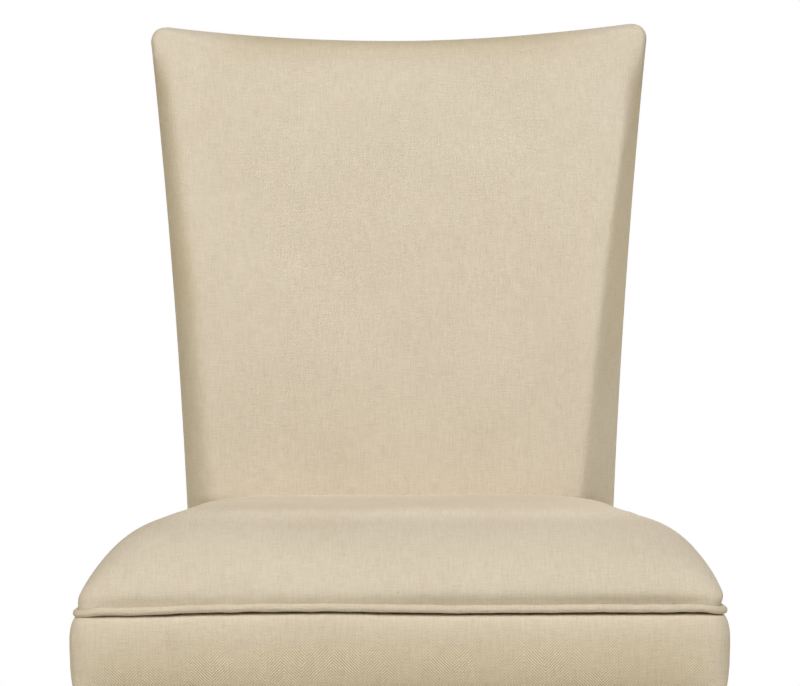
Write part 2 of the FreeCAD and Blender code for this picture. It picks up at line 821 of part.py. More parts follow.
def back_volume(label, inset, low, rear_inset, listed=False):
    """Upholstered back thinned by inset: flared outline, bevelled front edges and hollow crest."""
    body = new_body(label, listed)
    inset = as_size(inset)
    sections = []
    high = back_top + size("crest_dip")
    for level in LEVELS:
        z = low + (high - low) * level
        edge = back_x(z) - inset
        face = edge - blend("back_bevel_seat", "back_bevel_top", z)
        drawing = sketch(body, "XY_Plane", z)
        outline(drawing, [
            (-face, back_face_y(z) + inset), (face, back_face_y(z) + inset), (edge, post_front_y(z)),
            (edge, back_rear_y(z) - rear_inset), (-edge, back_rear_y(z) - rear_inset), (-edge, post_front_y(z)),
        ])
        sections.append(drawing)
    loft(body, "AdditiveLoft", sections)
    crest_waste(body, inset)
    return body


# Seat cushion: foam, wadding and cover, the outer two cut round the back
foam_base = rail_top + size("strap_wave") * 2 + size("strap_thickness") + size("hessian") + gap * 3
padding_depth = cloth + wadding + gap * 4
room = back_volume("back_room", -size("cushion_gap"), back_base - gap, -size("cushion_gap"))
foam = dome("seat_foam", padding_depth + gap * 4, foam_base, back_face_y(back_base) - size("cushion_gap") * 2)
PARTS.append(foam)
outer = dome("seat_skin", 0, cover_base, rear)
under = dome("seat_under_skin", cloth, cover_base, rear - cloth)
cut("seat_cover", outer, [under, room])
outer = dome("seat_fill", cloth + gap * 4, cover_base, rear - cloth - gap)
under = dome("seat_under_fill", cloth + gap * 4 + wadding, cover_base, rear - cloth - gap - wadding)
cut("seat_wadding", outer, [under, room])

# Welt: a cord in a tube of cloth, along both sides and the front
welt_y = rear - cloth - gap
welt_corner = size("seat_corner_radius")
for label in ("welt_core", "welt_cover"):
    welt = new_body(label)
    spine = sketch(welt, "XY_Plane", welt_z)
    inset = size("welt_inset")
    near = front + inset
    corner_x = padded_x(near, inset)
    tangent = welt_corner * (slant + narrowing)
    turn_x = corner_x - tangent * narrowing / slant
    turn_y = near + tangent / slant
    end_x = padded_x(welt_y, inset)
    outline(spine, [
        (-end_x, welt_y), (-turn_x, turn_y), (tangent - corner_x, near), (corner_x - tangent, near),
        (turn_x, turn_y), (end_x, welt_y),
    ], {1: (welt_corner, 1), 3: (welt_corner, 1)}, closed=False)
    section = sketch(welt, "XZ_Plane", welt_y)
    if label == "welt_core":
        circle(section, (-end_x, welt_z), size("welt_cord") / 2)
    else:
        circle(section, (-end_x, welt_z), size("welt_diameter") / 2)
        circle(section, (-end_x, welt_z), size("welt_cord") / 2 + gap / 2)
    pipe(welt, section, spine)

# Padded border round the front and side rails: cloth outside, wadding against the wood
band_base = rail_bottom - cloth - gap
band_top = welt_z - size("welt_diameter") / 2 - gap
BAND_STEPS = ((0.0, 1.0), (0.32, 0.0), (0.7, 0.1), (1.0, 0.8))


def band_sections(body, inset, low, back_y):
    sections = []
    for high, tuck in BAND_STEPS:
        drawing = sketch(body, "XY_Plane", low + (band_top - low) * high)
        seat_plan(drawing, inset + size("rail_bulge") * tuck, size("seat_corner_radius") - inset, back_y)
        sections.append(drawing)
    return sections


band = new_body("rail_band")
loft(band, "AdditiveLoft", band_sections(band, as_size(0), band_base, rear))
loft(band, "SubtractiveLoft", band_sections(band, cloth, rail_bottom - gap, rear - cloth))
opening = sketch(band, "XY_Plane", rail_bottom)
seat_plan(opening, size("cloth_return") + padding, size("seat_corner_radius") / 2, rear + padding)
extrude(band, "Pocket", opening, cloth * 6)
# the return under the rails is cut away round the legs, and the rear is left open for the outside back
for middle_x, middle_y, across in (
        (leg_outer - leg_width / 2, leg_front + leg_width / 2, leg_width),
        (post_outer - post_width / 2, post_front + post_depth / 2 + padding / 2, post_depth + padding)):
    notch = sketch(band, "XY_Plane", rail_bottom)
    half_x = (leg_width if across is leg_width else post_width) / 2 + gap * 2
    half_y = across / 2 + gap * 2
    for name, side in SIDES:
        outline(notch, [
            (middle_x * side - half_x, middle_y - half_y), (middle_x * side + half_x, middle_y - half_y),
            (middle_x * side + half_x, middle_y + half_y), (middle_x * side - half_x, middle_y + half_y),
        ])
    extrude(band, "Pocket", notch, cloth * 6)
open_rear = sketch(band, "XY_Plane", rail_middle)
open_x = half_rear - cloth * slant - gap
outline(open_rear, [
    (-open_x, rear - padding), (open_x, rear - padding), (open_x, rear + padding), (-open_x, rear + padding),
])
extrude(band, "Pocket", open_rear, size("rail_height") * 2)

border = new_body("rail_wadding")
loft(border, "AdditiveLoft", band_sections(border, cloth + gap, rail_bottom, post_rear))
inside = sketch(border, "XY_Plane", rail_middle)
snug = gap
spots = [
    (leg_outer + snug, leg_front - snug), (leg_outer + snug, leg_rear), (rail_x(post_front) + snug, post_front),
    (post_outer + snug, post_front + snug), (post_outer + snug, rear),
]
outline(inside, [(-x, y) for x, y in reversed(spots)] + spots)
extrude(border, "Pocket", inside, size("rail_height") * 2)

# Back cushion: foam on the straps, wadding and inside cover open to the rear
strap_t = size("strap_thickness")
inside_back = back_volume("inside_back_skin", 0, back_base, 0)
hollow_back = back_volume("inside_back_hollow", cloth, back_base - padding, -padding)
cut("inside_back_cover", inside_back, [hollow_back])
fill = back_volume("back_fill", cloth + gap, back_base, padding)
hollow_fill = back_volume("back_fill_hollow", cloth + gap + wadding, back_base - padding, -padding)
cut("back_wadding", fill, [hollow_fill])
back_foam = new_body("back_foam")
sections = []
foam_top = back_top + size("crest_dip")
for level in LEVELS:
    z = back_base + (foam_top - back_base) * level
    edge = back_x(z) - padding_depth
    bevel = blend("back_bevel_seat", "back_bevel_top", z)
    face = edge - bevel
    near = back_face_y(z) + padding_depth
    behind = post_front_y(z) - strap_t - gap * 3
    corner = face + bevel * (behind - near) / (post_front_y(z) - near)
    drawing = sketch(back_foam, "XY_Plane", z)
    outline(drawing, [(-face, near), (face, near), (corner, behind), (-corner, behind)])
    sections.append(drawing)
loft(back_foam, "AdditiveLoft", sections)
crest_waste(back_foam, padding_depth)

# Outside back: wadding over the frame and a panel of cloth set between the covers' edges
for label, near, far, tuck in (
        ("outside_back_wadding", padding - gap, cloth + gap, padding_depth),
        ("outside_back_cover", cloth, as_size(0), cloth + gap * 3)):
    panel = new_body(label)
    high = back_top + size("crest_dip")
    heights = [rail_bottom] + [back_base + (high - back_base) * level for level in LEVELS]
    sections = []
    for number, z in enumerate(heights):
        edge = back_x(z) - tuck if number else half_rear - tuck
        drawing = sketch(panel, "XY_Plane", z)
        face = back_rear_y(z) if number else rear
        outline(drawing, [(-edge, face - near), (edge, face - near), (edge, face - far), (-edge, face - far)])
        sections.append(drawing)
    loft(panel, "AdditiveLoft", sections)
    crest_waste(panel, tuck)

# Straps woven over and under one another across the seat frame
mesh_z = rail_top + strap_t / 2 + size("strap_wave") + gap
LENGTHWISE = [size("lengthwise_pitch") * (number - 1.5) for number in range(4)]
mesh_y = (leg_rear + post_front) / 2
CROSSWISE = [mesh_y + size("crosswise_pitch") * (number - 1.5) for number in range(4)]


def woven_strap(start, end, crossings, first_up, across, along_x):
    """One strap: a wave through the crossings, flat on the rail at both ends."""
    low = rail_top.value + strap_t.value / 2 + gap.value
    wave = size("strap_wave").value
    grip = thick.value
    knots = [(start.value, low), (start.value + grip / 2, low), (start.value + grip, low)]
    for number, crossing in enumerate(crossings):
        lift = wave if (number % 2 == 0) == first_up else -wave
        knots.append((crossing.value, mesh_z.value + lift))
    knots += [(end.value - grip, low), (end.value - grip / 2, low), (end.value, low)]
    if along_x:
        at = [FreeCAD.Vector(run, across.value - size("strap_width").value / 2, z) for run, z in knots]
        thick_way = FreeCAD.Vector(0, size("strap_width").value, 0)
    else:
        at = [FreeCAD.Vector(across.value - size("strap_width").value / 2, run, z) for run, z in knots]
        thick_way = FreeCAD.Vector(size("strap_width").value, 0, 0)
    half = FreeCAD.Vector(0, 0, strap_t.value / 2)
    lower = Part.BSplineCurve()
    lower.interpolate([spot - half for spot in at])
    upper = Part.BSplineCurve()
    upper.interpolate([spot + half for spot in at])
    edges = [
        lower.toShape(), Part.LineSegment(at[-1] - half, at[-1] + half).toShape(),
        upper.toShape(), Part.LineSegment(at[0] - half, at[0] + half).toShape(),
    ]
    face = Part.Face(Part.Wire(Part.__sortEdges__(edges)))
    return face.extrude(thick_way)


def strap_group(label, straps):
    made = doc.addObject("Part::Feature", label)
    made.Label = label
    made.Shape = Part.makeCompound(straps)
    PARTS.append(made)


margin = size("strap_margin")
strap_group("seat_webbing_lengthwise", [
    woven_strap(leg_front + margin, post_rear - margin, CROSSWISE, number % 2 == 0, x, False)
    for number, x in enumerate(LENGTHWISE)])
strap_group("seat_webbing_crosswise", [
    woven_strap(margin - rail_x(y + size("strap_width") / 2), rail_x(y + size("strap_width") / 2) - margin,
                LENGTHWISE, number % 2 == 1, y, True)
    for number, y in enumerate(CROSSWISE)])

# Straps across the front of the back posts
strap_middle = (lower_rail_top + crest_rail_z) / 2
back_straps = []
for number in (-1, 0, 1):
    strap = new_body("back_strap", listed=False)
    middle = strap_middle + size("back_strap_pitch") * number
    low = middle - size("strap_width") / 2
    high = middle + size("strap_width") / 2
    profile = sketch(strap, "YZ_Plane")
    outline(profile, [
        (post_front_y(low) - gap * 2 - strap_t, low), (post_front_y(low) - gap * 2, low),
        (post_front_y(high) - gap * 2, high), (post_front_y(high) - gap * 2 - strap_t, high),
    ])
    extrude(strap, "Pad", profile, (back_x(low) - padding - margin) * 2)
    back_straps.append(strap)
made = doc.addObject("Part::Compound", "back_webbing")
made.Links = back_straps
made.Label = "back_webbing"
PARTS.append(made)

# Hessian over the straps and a dust cloth under the frame, both cut round the legs
sheet_low = foam_base - gap - size("hessian")
hessian = new_body("seat_hessian")
plan = sketch(hessian, "XY_Plane", sheet_low + size("hessian") / 2)
hessian_rear = post_front - margin
seat_plan(plan, padding + margin, size("seat_corner_radius"), hessian_rear)
extrude(hessian, "Pad", plan, size("hessian"))

dust = new_body("dust_cover")
plan = sketch(dust, "XY_Plane", band_base - gap / 2 - size("dust_cloth") / 2)
dust_inset = size("dust_inset")
near = front + dust_inset
far = rear - dust_inset
clear = gap * 4
right = [
    (leg_inner - clear, near), (leg_inner - clear, leg_rear + clear),
    (padded_x(leg_rear + clear, dust_inset), leg_rear + clear),
    (padded_x(post_front - clear, dust_inset), post_front - clear),
    (post_inner - clear, post_front - clear), (post_inner - clear, far),
]
outline(plan, right + [(-x, y) for x, y in reversed(right)])
extrude(dust, "Pad", plan, size("dust_cloth"))

# Check every object, then write one file per piece
os.makedirs("parts", exist_ok=True)
doc.recompute()
for obj in doc.Objects:
    if "Invalid" in obj.State or "Error" in obj.State:
        raise RuntimeError("%s is in state %s" % (obj.Label, obj.State))
for obj in PARTS:
    shape = obj.Shape
    if shape.isNull() or not shape.isValid() or not shape.Solids:
        raise RuntimeError("%s has no valid solid" % obj.Label)
for obj in PARTS:
    obj.Shape.exportStep("parts/%s.step" % obj.Label)
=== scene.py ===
import math

import bpy
import numpy as np
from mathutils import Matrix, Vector, noise


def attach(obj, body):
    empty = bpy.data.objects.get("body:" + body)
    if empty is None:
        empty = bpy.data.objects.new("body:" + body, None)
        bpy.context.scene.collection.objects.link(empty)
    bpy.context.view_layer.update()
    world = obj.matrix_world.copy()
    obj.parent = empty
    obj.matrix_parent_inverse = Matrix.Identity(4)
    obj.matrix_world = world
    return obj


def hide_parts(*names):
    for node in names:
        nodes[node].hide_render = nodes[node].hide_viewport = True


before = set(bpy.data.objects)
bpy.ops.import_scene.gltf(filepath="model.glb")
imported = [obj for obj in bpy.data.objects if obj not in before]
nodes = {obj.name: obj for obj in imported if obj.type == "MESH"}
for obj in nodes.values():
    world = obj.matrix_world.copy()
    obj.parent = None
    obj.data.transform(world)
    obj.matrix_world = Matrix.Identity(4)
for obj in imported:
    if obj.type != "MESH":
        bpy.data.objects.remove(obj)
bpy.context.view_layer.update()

# Sizes of the chair in metres, in the frame of the solids: it faces -Y and left is -X
SEAT_FRONT = -0.2945
SEAT_REAR = 0.2255
HALF_FRONT = 0.268
NARROWING = 0.058 / 0.52
SLANT = math.atan(NARROWING)
SLANTED = math.sqrt(1 + NARROWING ** 2)
RAIL_BOTTOM = 0.362
RAIL_TOP = 0.437
WELT_Z = 0.4425
WELT_RADIUS = 0.0032
SEAT_CORNER = 0.019
BACK_WAIST = 0.4885
BACK_TOP = 0.953
BACK_BASE = 0.4415
BACK_HALF_LOW = 0.2073
BACK_HALF_HIGH = 0.249
BACK_SAG = 0.005
CREST_DIP = 0.015
BACK_CORNER = 0.018
PADDING = 0.008
POST_FRONT = 0.1735
POST_REAR = 0.2175
POST_LEAN = 0.092
REAR_LEAN = 0.075

# Points of cloth nearer than this become one point
WELD_GAP = 0.00005
# Frames that the padding is left to swell for, and the least travel that counts
SWELL_FRAMES = 20
LEAST_TRAVEL = 0.00001
# Angle in degrees up to which cloth is shaded smooth
CLOTH_SMOOTH = 70


# Working helpers


def nothing_selected():
    if bpy.context.mode != "OBJECT":
        bpy.ops.object.mode_set(mode="OBJECT")
    bpy.ops.object.select_all(action="DESELECT")


def only(piece):
    nothing_selected()
    piece.select_set(True)
    bpy.context.view_layer.objects.active = piece


def finish_with(piece, kind, **settings):
    """Add a modifier and apply it."""
    only(piece)
    modifier = piece.modifiers.new(kind.title(), kind)
    for name, value in settings.items():
        setattr(modifier, name, value)
    bpy.ops.object.modifier_apply(modifier=modifier.name)


def smooth(piece, degrees):
    only(piece)
    bpy.ops.object.shade_smooth_by_angle(angle=math.radians(degrees))


def ease(value):
    value = min(1.0, max(0.0, value))
    return value * value * (3 - 2 * value)


def rising(value, zone):
    """Eased from 0 to 1 over a zone, which is given by its start and its run."""
    start, run = zone
    return ease((value - start) / run)


def mix(low, high, part):
    return low + (high - low) * part


def edit(piece, action):
    """Open a piece for editing, with all of it selected or deselected."""
    only(piece)
    bpy.ops.object.mode_set(mode="EDIT")
    bpy.ops.mesh.select_all(action=action)


def outward(piece):
    edit(piece, "SELECT")
    bpy.ops.mesh.normals_make_consistent(inside=False)
    bpy.ops.object.mode_set(mode="OBJECT")


def cut_cloth(name, columns, rows, lay):
    """A flat grid of cloth laid on its form: lay(s, t) gives the place of the point s across, from -1 to 1,
    and t along, from 0 to 1, or None where the cloth is cut away. Its UV map keeps the cloth's own lengths
    in metres."""
    nothing_selected()
    bpy.ops.mesh.primitive_grid_add(x_subdivisions=columns, y_subdivisions=rows, size=1.0, calc_uvs=True)
    piece = bpy.context.object
    piece.name = name
    piece.data.name = name
    mesh = piece.data
    place = np.zeros((rows + 1, columns + 1, 3))
    spots = []
    waste = []
    for vertex in mesh.vertices:
        across = round((vertex.co.x + 0.5) * columns)
        along = round((vertex.co.y + 0.5) * rows)
        spots.append((along, across))
        found = lay(across / columns * 2 - 1, along / rows)
        if found is None:
            waste.append(vertex.index)
        else:
            place[along, across] = found
    for vertex, spot in zip(mesh.vertices, spots):
        vertex.co = place[spot]
    step_across = np.linalg.norm(np.diff(place, axis=1), axis=2)
    step_along = np.linalg.norm(np.diff(place, axis=0), axis=2)
    width = np.concatenate([np.zeros((rows + 1, 1)), np.cumsum(step_across, axis=1)], axis=1)
    width -= width[:, columns // 2:columns // 2 + 1]
    height = np.concatenate([np.zeros((1, columns + 1)), np.cumsum(step_along, axis=0)], axis=0)
    layer = mesh.uv_layers.active.data
    for loop in mesh.loops:
        along, across = spots[loop.vertex_index]
        layer[loop.index].uv = (width[along, across], height[along, across])
    if waste:
        only(piece)
        bpy.ops.object.mode_set(mode="EDIT")
        bpy.ops.mesh.select_mode(type="VERT")
        bpy.ops.mesh.select_all(action="DESELECT")
        bpy.ops.object.mode_set(mode="OBJECT")
        for index in waste:
            mesh.vertices[index].select = True
        bpy.ops.object.mode_set(mode="EDIT")
        bpy.ops.mesh.delete(type="VERT")
        bpy.ops.mesh.select_all(action="SELECT")
        bpy.ops.mesh.remove_doubles(threshold=WELD_GAP)
        bpy.ops.object.mode_set(mode="OBJECT")
    return piece


def grouped(piece, name, wanted):
    group = piece.vertex_groups.new(name=name)
    for vertex in piece.data.vertices:
        weight = wanted(vertex.co)
        if weight > 0:
            group.add([vertex.index], weight, "REPLACE")


def stuffed(piece, held, pressure, most):
    """Let the padding swell the cloth between the places where it is held, outward by at most the travel
    that most(spot) gives."""
    grouped(piece, "held", held)
    start = [(vertex.co.copy(), vertex.normal.copy()) for vertex in piece.data.vertices]
    only(piece)
    cloth = piece.modifiers.new("Cloth", "CLOTH")
    settings = cloth.settings
    settings.quality = 5
    settings.mass = 0.25
    settings.tension_stiffness = 20
    settings.compression_stiffness = 20
    settings.shear_stiffness = 8
    settings.bending_stiffness = 2.0
    settings.air_damping = 4
    settings.use_pressure = True
    settings.uniform_pressure_force = pressure
    settings.vertex_group_mass = "held"
    settings.effector_weights.gravity = 0
    cloth.collision_settings.use_collision = False
    cloth.point_cache.frame_start = 1
    cloth.point_cache.frame_end = SWELL_FRAMES
    scene = bpy.context.scene
    for number in range(1, SWELL_FRAMES + 1):
        scene.frame_set(number)
        bpy.context.view_layer.update()
    bpy.ops.object.modifier_apply(modifier=cloth.name)
    scene.frame_set(1)
    for vertex, (begin, away) in zip(piece.data.vertices, start):
        travel = (vertex.co - begin).dot(away)
        limit = most(begin)
        vertex.co = begin + away * limit * math.tanh(max(0.0, travel) / max(limit, LEAST_TRAVEL))
    piece.vertex_groups.clear()


def thicken(piece, thickness, material):
    """Give a laid cloth its thickness, inward, and its material."""
    outward(piece)
    finish_with(piece, "SOLIDIFY", thickness=thickness, offset=-1.0)
    smooth(piece, CLOTH_SMOOTH)
    piece.data.materials.append(material)


# Materials


def place_on(tree):
    return tree.nodes.new("ShaderNodeTexCoord").outputs["Object"]


def feed(socket, value):
    """Link a socket to another node's output, or set it to a value."""
    if isinstance(value, bpy.types.NodeSocket):
        socket.id_data.links.new(value, socket)
    elif socket.type == "RGBA" and len(value) == 3:
        socket.default_value = (*value, 1.0)
    else:
        socket.default_value = value


def fill(node, **sockets):
    """Feed sockets of a node by their names, with _ for a space."""
    for name, value in sockets.items():
        feed(node.inputs[name.replace("_", " ")], value)


def new_material(name, roughness, **sockets):
    made = bpy.data.materials.new(name)
    made.use_nodes = True
    shader = made.node_tree.nodes["Principled BSDF"]
    fill(shader, Roughness=roughness, **sockets)
    return made, made.node_tree, shader


def add(tree, kind, **settings):
    node = tree.nodes.new(kind)
    for name, value in settings.items():
        setattr(node, name, value)
    return node


def stretched_noise(tree, source, scale, detail, turn=0.0, shift=0.0):
    """Noise drawn out along one direction, as threads and grain are."""
    mapping = add(tree, "ShaderNodeMapping")
    fill(mapping, Vector=source, Scale=scale, Rotation=(0, 0, turn), Location=(shift, shift, shift))
    made = add(tree, "ShaderNodeTexNoise")
    fill(made, Vector=mapping.outputs["Vector"], Scale=1.0, Detail=detail)
    return made.outputs["Fac"]


def sums(tree, operation, first, second):
    node = add(tree, "ShaderNodeMath", operation=operation)
    for socket, value in zip(node.inputs, (first, second)):
        feed(socket, value)
    return node.outputs[0]


def ramp(tree, source, stops):
    node = add(tree, "ShaderNodeValToRGB")
    elements = node.color_ramp.elements
    while len(elements) < len(stops):
        elements.new(0.5)
    for element, (at, colour) in zip(elements, stops):
        element.position = at
        element.color = (*colour, 1.0)
    fill(node, Fac=source)
    return node.outputs["Color"]


def mixed(tree, part, first, second, blend="MIX"):
    node = add(tree, "ShaderNodeMix", data_type="RGBA", blend_type=blend)
    for number, value in ((0, part), (6, first), (7, second)):
        feed(node.inputs[number], value)
    return node.outputs[2]


def bumped(tree, shader, height, distance, strength):
    node = add(tree, "ShaderNodeBump")
    fill(node, Height=height, Strength=strength, Distance=distance)
    fill(shader, Normal=node.outputs["Normal"])


def fading(tree, source, full, none):
    """From 1 at the full value down to 0 at the other one."""
    node = add(tree, "ShaderNodeMapRange", interpolation_type="SMOOTHSTEP")
    fill(node, Value=source, From_Min=full, From_Max=none, To_Min=1.0, To_Max=0.0)
    return node.outputs["Result"]


# Weave of the linen: pitch of the twill lines, width of a herringbone column and how far its edges stray
TWILL_PITCH = 0.0025
HERRINGBONE = 0.019
COLUMN_STRAY = 0.03
# Cloth lengths up and along the border between which its painted shade and its deeper-painted twill fade out
LOWER_FRONT_UP = (0.048, 0.092)
LOWER_FRONT_ALONG = (0.205, 0.275)
# Share of the border's twill that still shows beyond them
TWILL_BEYOND = 0.15
# How much the twill lines waver, how far they stand up beside the threads, and the depth of the relief
TWILL_WAVER = 2.4
TWILL_RELIEF = 0.22
RELIEF = 0.0006
STRAW = (0.36, 0.28, 0.17)


def linen(name, level, turn=0.0, swing=0.012, relief_depth=0.55, lower_shade=None, painted_shade_tint=(0.81, 0.775, 0.645)):
    """Oatmeal linen: slubbed warp and weft, a fine herringbone twill and a few dark flecks of straw. Its
    level lightens or darkens the whole piece as painted light or shade, and a point attribute of the piece
    mixes in a darker tint as painted shade. Given a lower colour, the lower edge of the front is painted
    darker and warmer as shade, and its twill is painted deeper there, standing in for its relief in grazing
    light."""
    made, tree, shader = new_material(name, 0.95, Specular_IOR_Level=0.06)
    cloth = add(tree, "ShaderNodeUVMap").outputs["UV"]
    weft = stretched_noise(tree, cloth, (75, 1000, 1), 2.0, turn)
    warp = stretched_noise(tree, cloth, (1000, 80, 1), 2.0, turn, 3.7)
    broad = stretched_noise(tree, cloth, (9, 9, 1), 3.0, turn, 9.1)
    fleck = stretched_noise(tree, cloth, (420, 420, 1), 1.0, turn, 5.3)
    wobble = stretched_noise(tree, cloth, (160, 160, 1), 2.0, turn, 1.9)
    mapping = add(tree, "ShaderNodeMapping")
    fill(mapping, Vector=cloth, Rotation=(0, 0, turn))
    parts = add(tree, "ShaderNodeSeparateXYZ")
    fill(parts, Vector=mapping.outputs["Vector"])
    stray = stretched_noise(tree, cloth, (38, 38, 1), 1.0, turn, 7.7)
    column = sums(tree, "ADD", parts.outputs["X"], sums(tree, "MULTIPLY", stray, COLUMN_STRAY))
    column = sums(tree, "SINE", sums(tree, "MULTIPLY", column, math.pi / HERRINGBONE), 0.0)
    leaning = sums(tree, "MULTIPLY", parts.outputs["X"], sums(tree, "SIGN", column, 0.0))
    diagonal = sums(tree, "ADD", leaning, parts.outputs["Y"])
    phase = sums(tree, "ADD", sums(tree, "MULTIPLY", diagonal, 2 * math.pi / TWILL_PITCH),
                 sums(tree, "MULTIPLY", wobble, TWILL_WAVER))
    twill = sums(tree, "SINE", phase, 0.0)
    threads = sums(tree, "ADD", weft, warp)
    scaled = sums(tree, "MULTIPLY", threads, 0.5)
    tone = ramp(tree, scaled, [(0.33, (0.606, 0.546, 0.448)), (0.5, (0.660, 0.601, 0.503)),
                               (0.67, (0.705, 0.649, 0.556))])
    patch = ramp(tree, broad, [(0.35, (0.965, 0.96, 0.95)), (0.65, (1.0, 1.0, 1.0))])
    tone = mixed(tree, 1.0, tone, patch, "MULTIPLY")
    shown = ramp(tree, stretched_noise(tree, cloth, (30, 30, 1), 2.0, turn, 2.6),
                 [(0.36, (0.3, 0.3, 0.3)), (0.6, (1.0, 1.0, 1.0))])
    # Painted shade: the lower edge of the front darker and warmer, its twill painted deeper there
    if lower_shade:
        along = sums(tree, "ABSOLUTE", parts.outputs["X"], 0.0)
        lower_front = sums(tree, "MULTIPLY", fading(tree, parts.outputs["Y"], *LOWER_FRONT_UP),
                     fading(tree, along, *LOWER_FRONT_ALONG))
        tone = mixed(tree, 1.0, tone, mixed(tree, lower_front, level, lower_shade), "MULTIPLY")
        deeper = sums(tree, "MULTIPLY", lower_front, 1 - TWILL_BEYOND)
        shown = sums(tree, "MULTIPLY", shown, sums(tree, "ADD", deeper, TWILL_BEYOND))
    else:
        tone = mixed(tree, 1.0, tone, level, "MULTIPLY")
    ridge = ramp(tree, sums(tree, "ADD", sums(tree, "MULTIPLY", twill, 0.5), 0.5),
                 [(0.0, (1 - swing, 1 - swing, 1 - swing * 1.2)), (1.0, (1 + swing, 1 + swing, 1 + swing))])
    tone = mixed(tree, shown, tone, mixed(tree, 1.0, tone, ridge, "MULTIPLY"))
    straw = ramp(tree, fleck, [(0.75, (0.0, 0.0, 0.0)), (0.81, (0.5, 0.5, 0.5))])
    tone = mixed(tree, straw, tone, STRAW)
    # Painted shade, read from the point attribute that the piece's maker writes
    painted_shade = add(tree, "ShaderNodeAttribute", attribute_name="painted_shade").outputs["Fac"]
    tone = mixed(tree, painted_shade, tone, painted_shade_tint, "MULTIPLY")
    fill(shader, Base_Color=tone)
    relief = sums(tree, "ADD", sums(tree, "MULTIPLY", twill, TWILL_RELIEF), threads)
    bumped(tree, shader, relief, RELIEF, relief_depth)
    return made


def polished_wood(name, dark, middle, light, gloss):
    """Close-grained show-wood under a satin polish, its grain running up the legs."""
    made, tree, shader = new_material(name, gloss, Coat_Weight=0.35, Coat_Roughness=0.18)
    place = place_on(tree)
    figure = stretched_noise(tree, place, (26, 26, 1.6), 4.0)
    pores = stretched_noise(tree, place, (900, 900, 18), 2.0, 0.0, 2.3)
    colour = ramp(tree, figure, [(0.3, dark), (0.5, middle), (0.72, light)])
    fine = ramp(tree, pores, [(0.32, (0.62, 0.58, 0.55)), (0.5, (1.0, 1.0, 1.0))])
    rough = ramp(tree, figure, [(0.3, (gloss + 0.1,) * 3), (0.7, (gloss - 0.05,) * 3)])
    fill(shader, Base_Color=mixed(tree, 1.0, colour, fine, "MULTIPLY"), Roughness=rough)
    bumped(tree, shader, pores, 0.0002, 0.25)
    return made


def raw_wood(name, dark, light, along):
    """Sawn hardwood of the hidden frame."""
    made, tree, shader = new_material(name, 0.7)
    place = place_on(tree)
    scale = [55.0, 55.0, 55.0]
    scale[along] = 4.0
    fine = [700.0, 700.0, 700.0]
    fine[along] = 40.0
    figure = stretched_noise(tree, place, tuple(scale), 4.0)
    rays = stretched_noise(tree, place, tuple(fine), 1.0, 0.0, 4.2)
    colour = ramp(tree, figure, [(0.3, dark), (0.7, light)])
    flecks = ramp(tree, rays, [(0.35, (0.8, 0.76, 0.72)), (0.55, (1.0, 1.0, 1.0))])
    fill(shader, Base_Color=mixed(tree, 1.0, colour, flecks, "MULTIPLY"))
    bumped(tree, shader, rays, 0.0003, 0.3)
    return made


def coarse_weave(name, dark, light, pitch, stripe=None):
    """Plain weave of jute yarn, with an optional coloured stripe."""
    made, tree, shader = new_material(name, 0.9)
    place = place_on(tree)
    parts = add(tree, "ShaderNodeSeparateXYZ")
    fill(parts, Vector=place)
    waves = []
    for axis in ("X", "Y", "Z"):
        turns = sums(tree, "MULTIPLY", parts.outputs[axis], 2 * math.pi / pitch)
        waves.append(sums(tree, "SINE", turns, 0.0))
    checks = sums(tree, "MULTIPLY", waves[0], sums(tree, "ADD", waves[1], waves[2]))
    hairs = stretched_noise(tree, place, (700, 700, 700), 2.0)
    level = sums(tree, "ADD", sums(tree, "MULTIPLY", checks, 0.22), hairs)
    colour = ramp(tree, level, [(0.25, dark), (0.75, light)])
    if stripe:
        band = stretched_noise(tree, place, (30, 30, 30), 0.0, 0.0, 6.1)
        colour = mixed(tree, ramp(tree, band, [(0.56, (0, 0, 0)), (0.6, (0.7, 0.7, 0.7))]), colour, stripe)
    fill(shader, Base_Color=colour)
    bumped(tree, shader, level, 0.0005, 0.6)
    return made


def soft_fill(name, dark, light, cell, depth):
    """Foam, wadding, felted or non-woven stuff: fine cells or fibres."""
    made, tree, shader = new_material(name, 0.95)
    place = place_on(tree)
    fibres = stretched_noise(tree, place, (cell, cell, cell), 3.0)
    fill(shader, Base_Color=ramp(tree, fibres, [(0.3, dark), (0.7, light)]))
    bumped(tree, shader, fibres, depth, 0.5)
    return made


def bright_metal(name, dark, light, roughness):
    made, tree, shader = new_material(name, roughness, Metallic=1.0)
    place = place_on(tree)
    scuffs = stretched_noise(tree, place, (420, 420, 60), 3.0)
    rough = ramp(tree, scuffs, [(0.3, (roughness + 0.15,) * 3), (0.7, (roughness - 0.05,) * 3)])
    fill(shader, Base_Color=ramp(tree, scuffs, [(0.3, dark), (0.7, light)]), Roughness=rough)
    return made


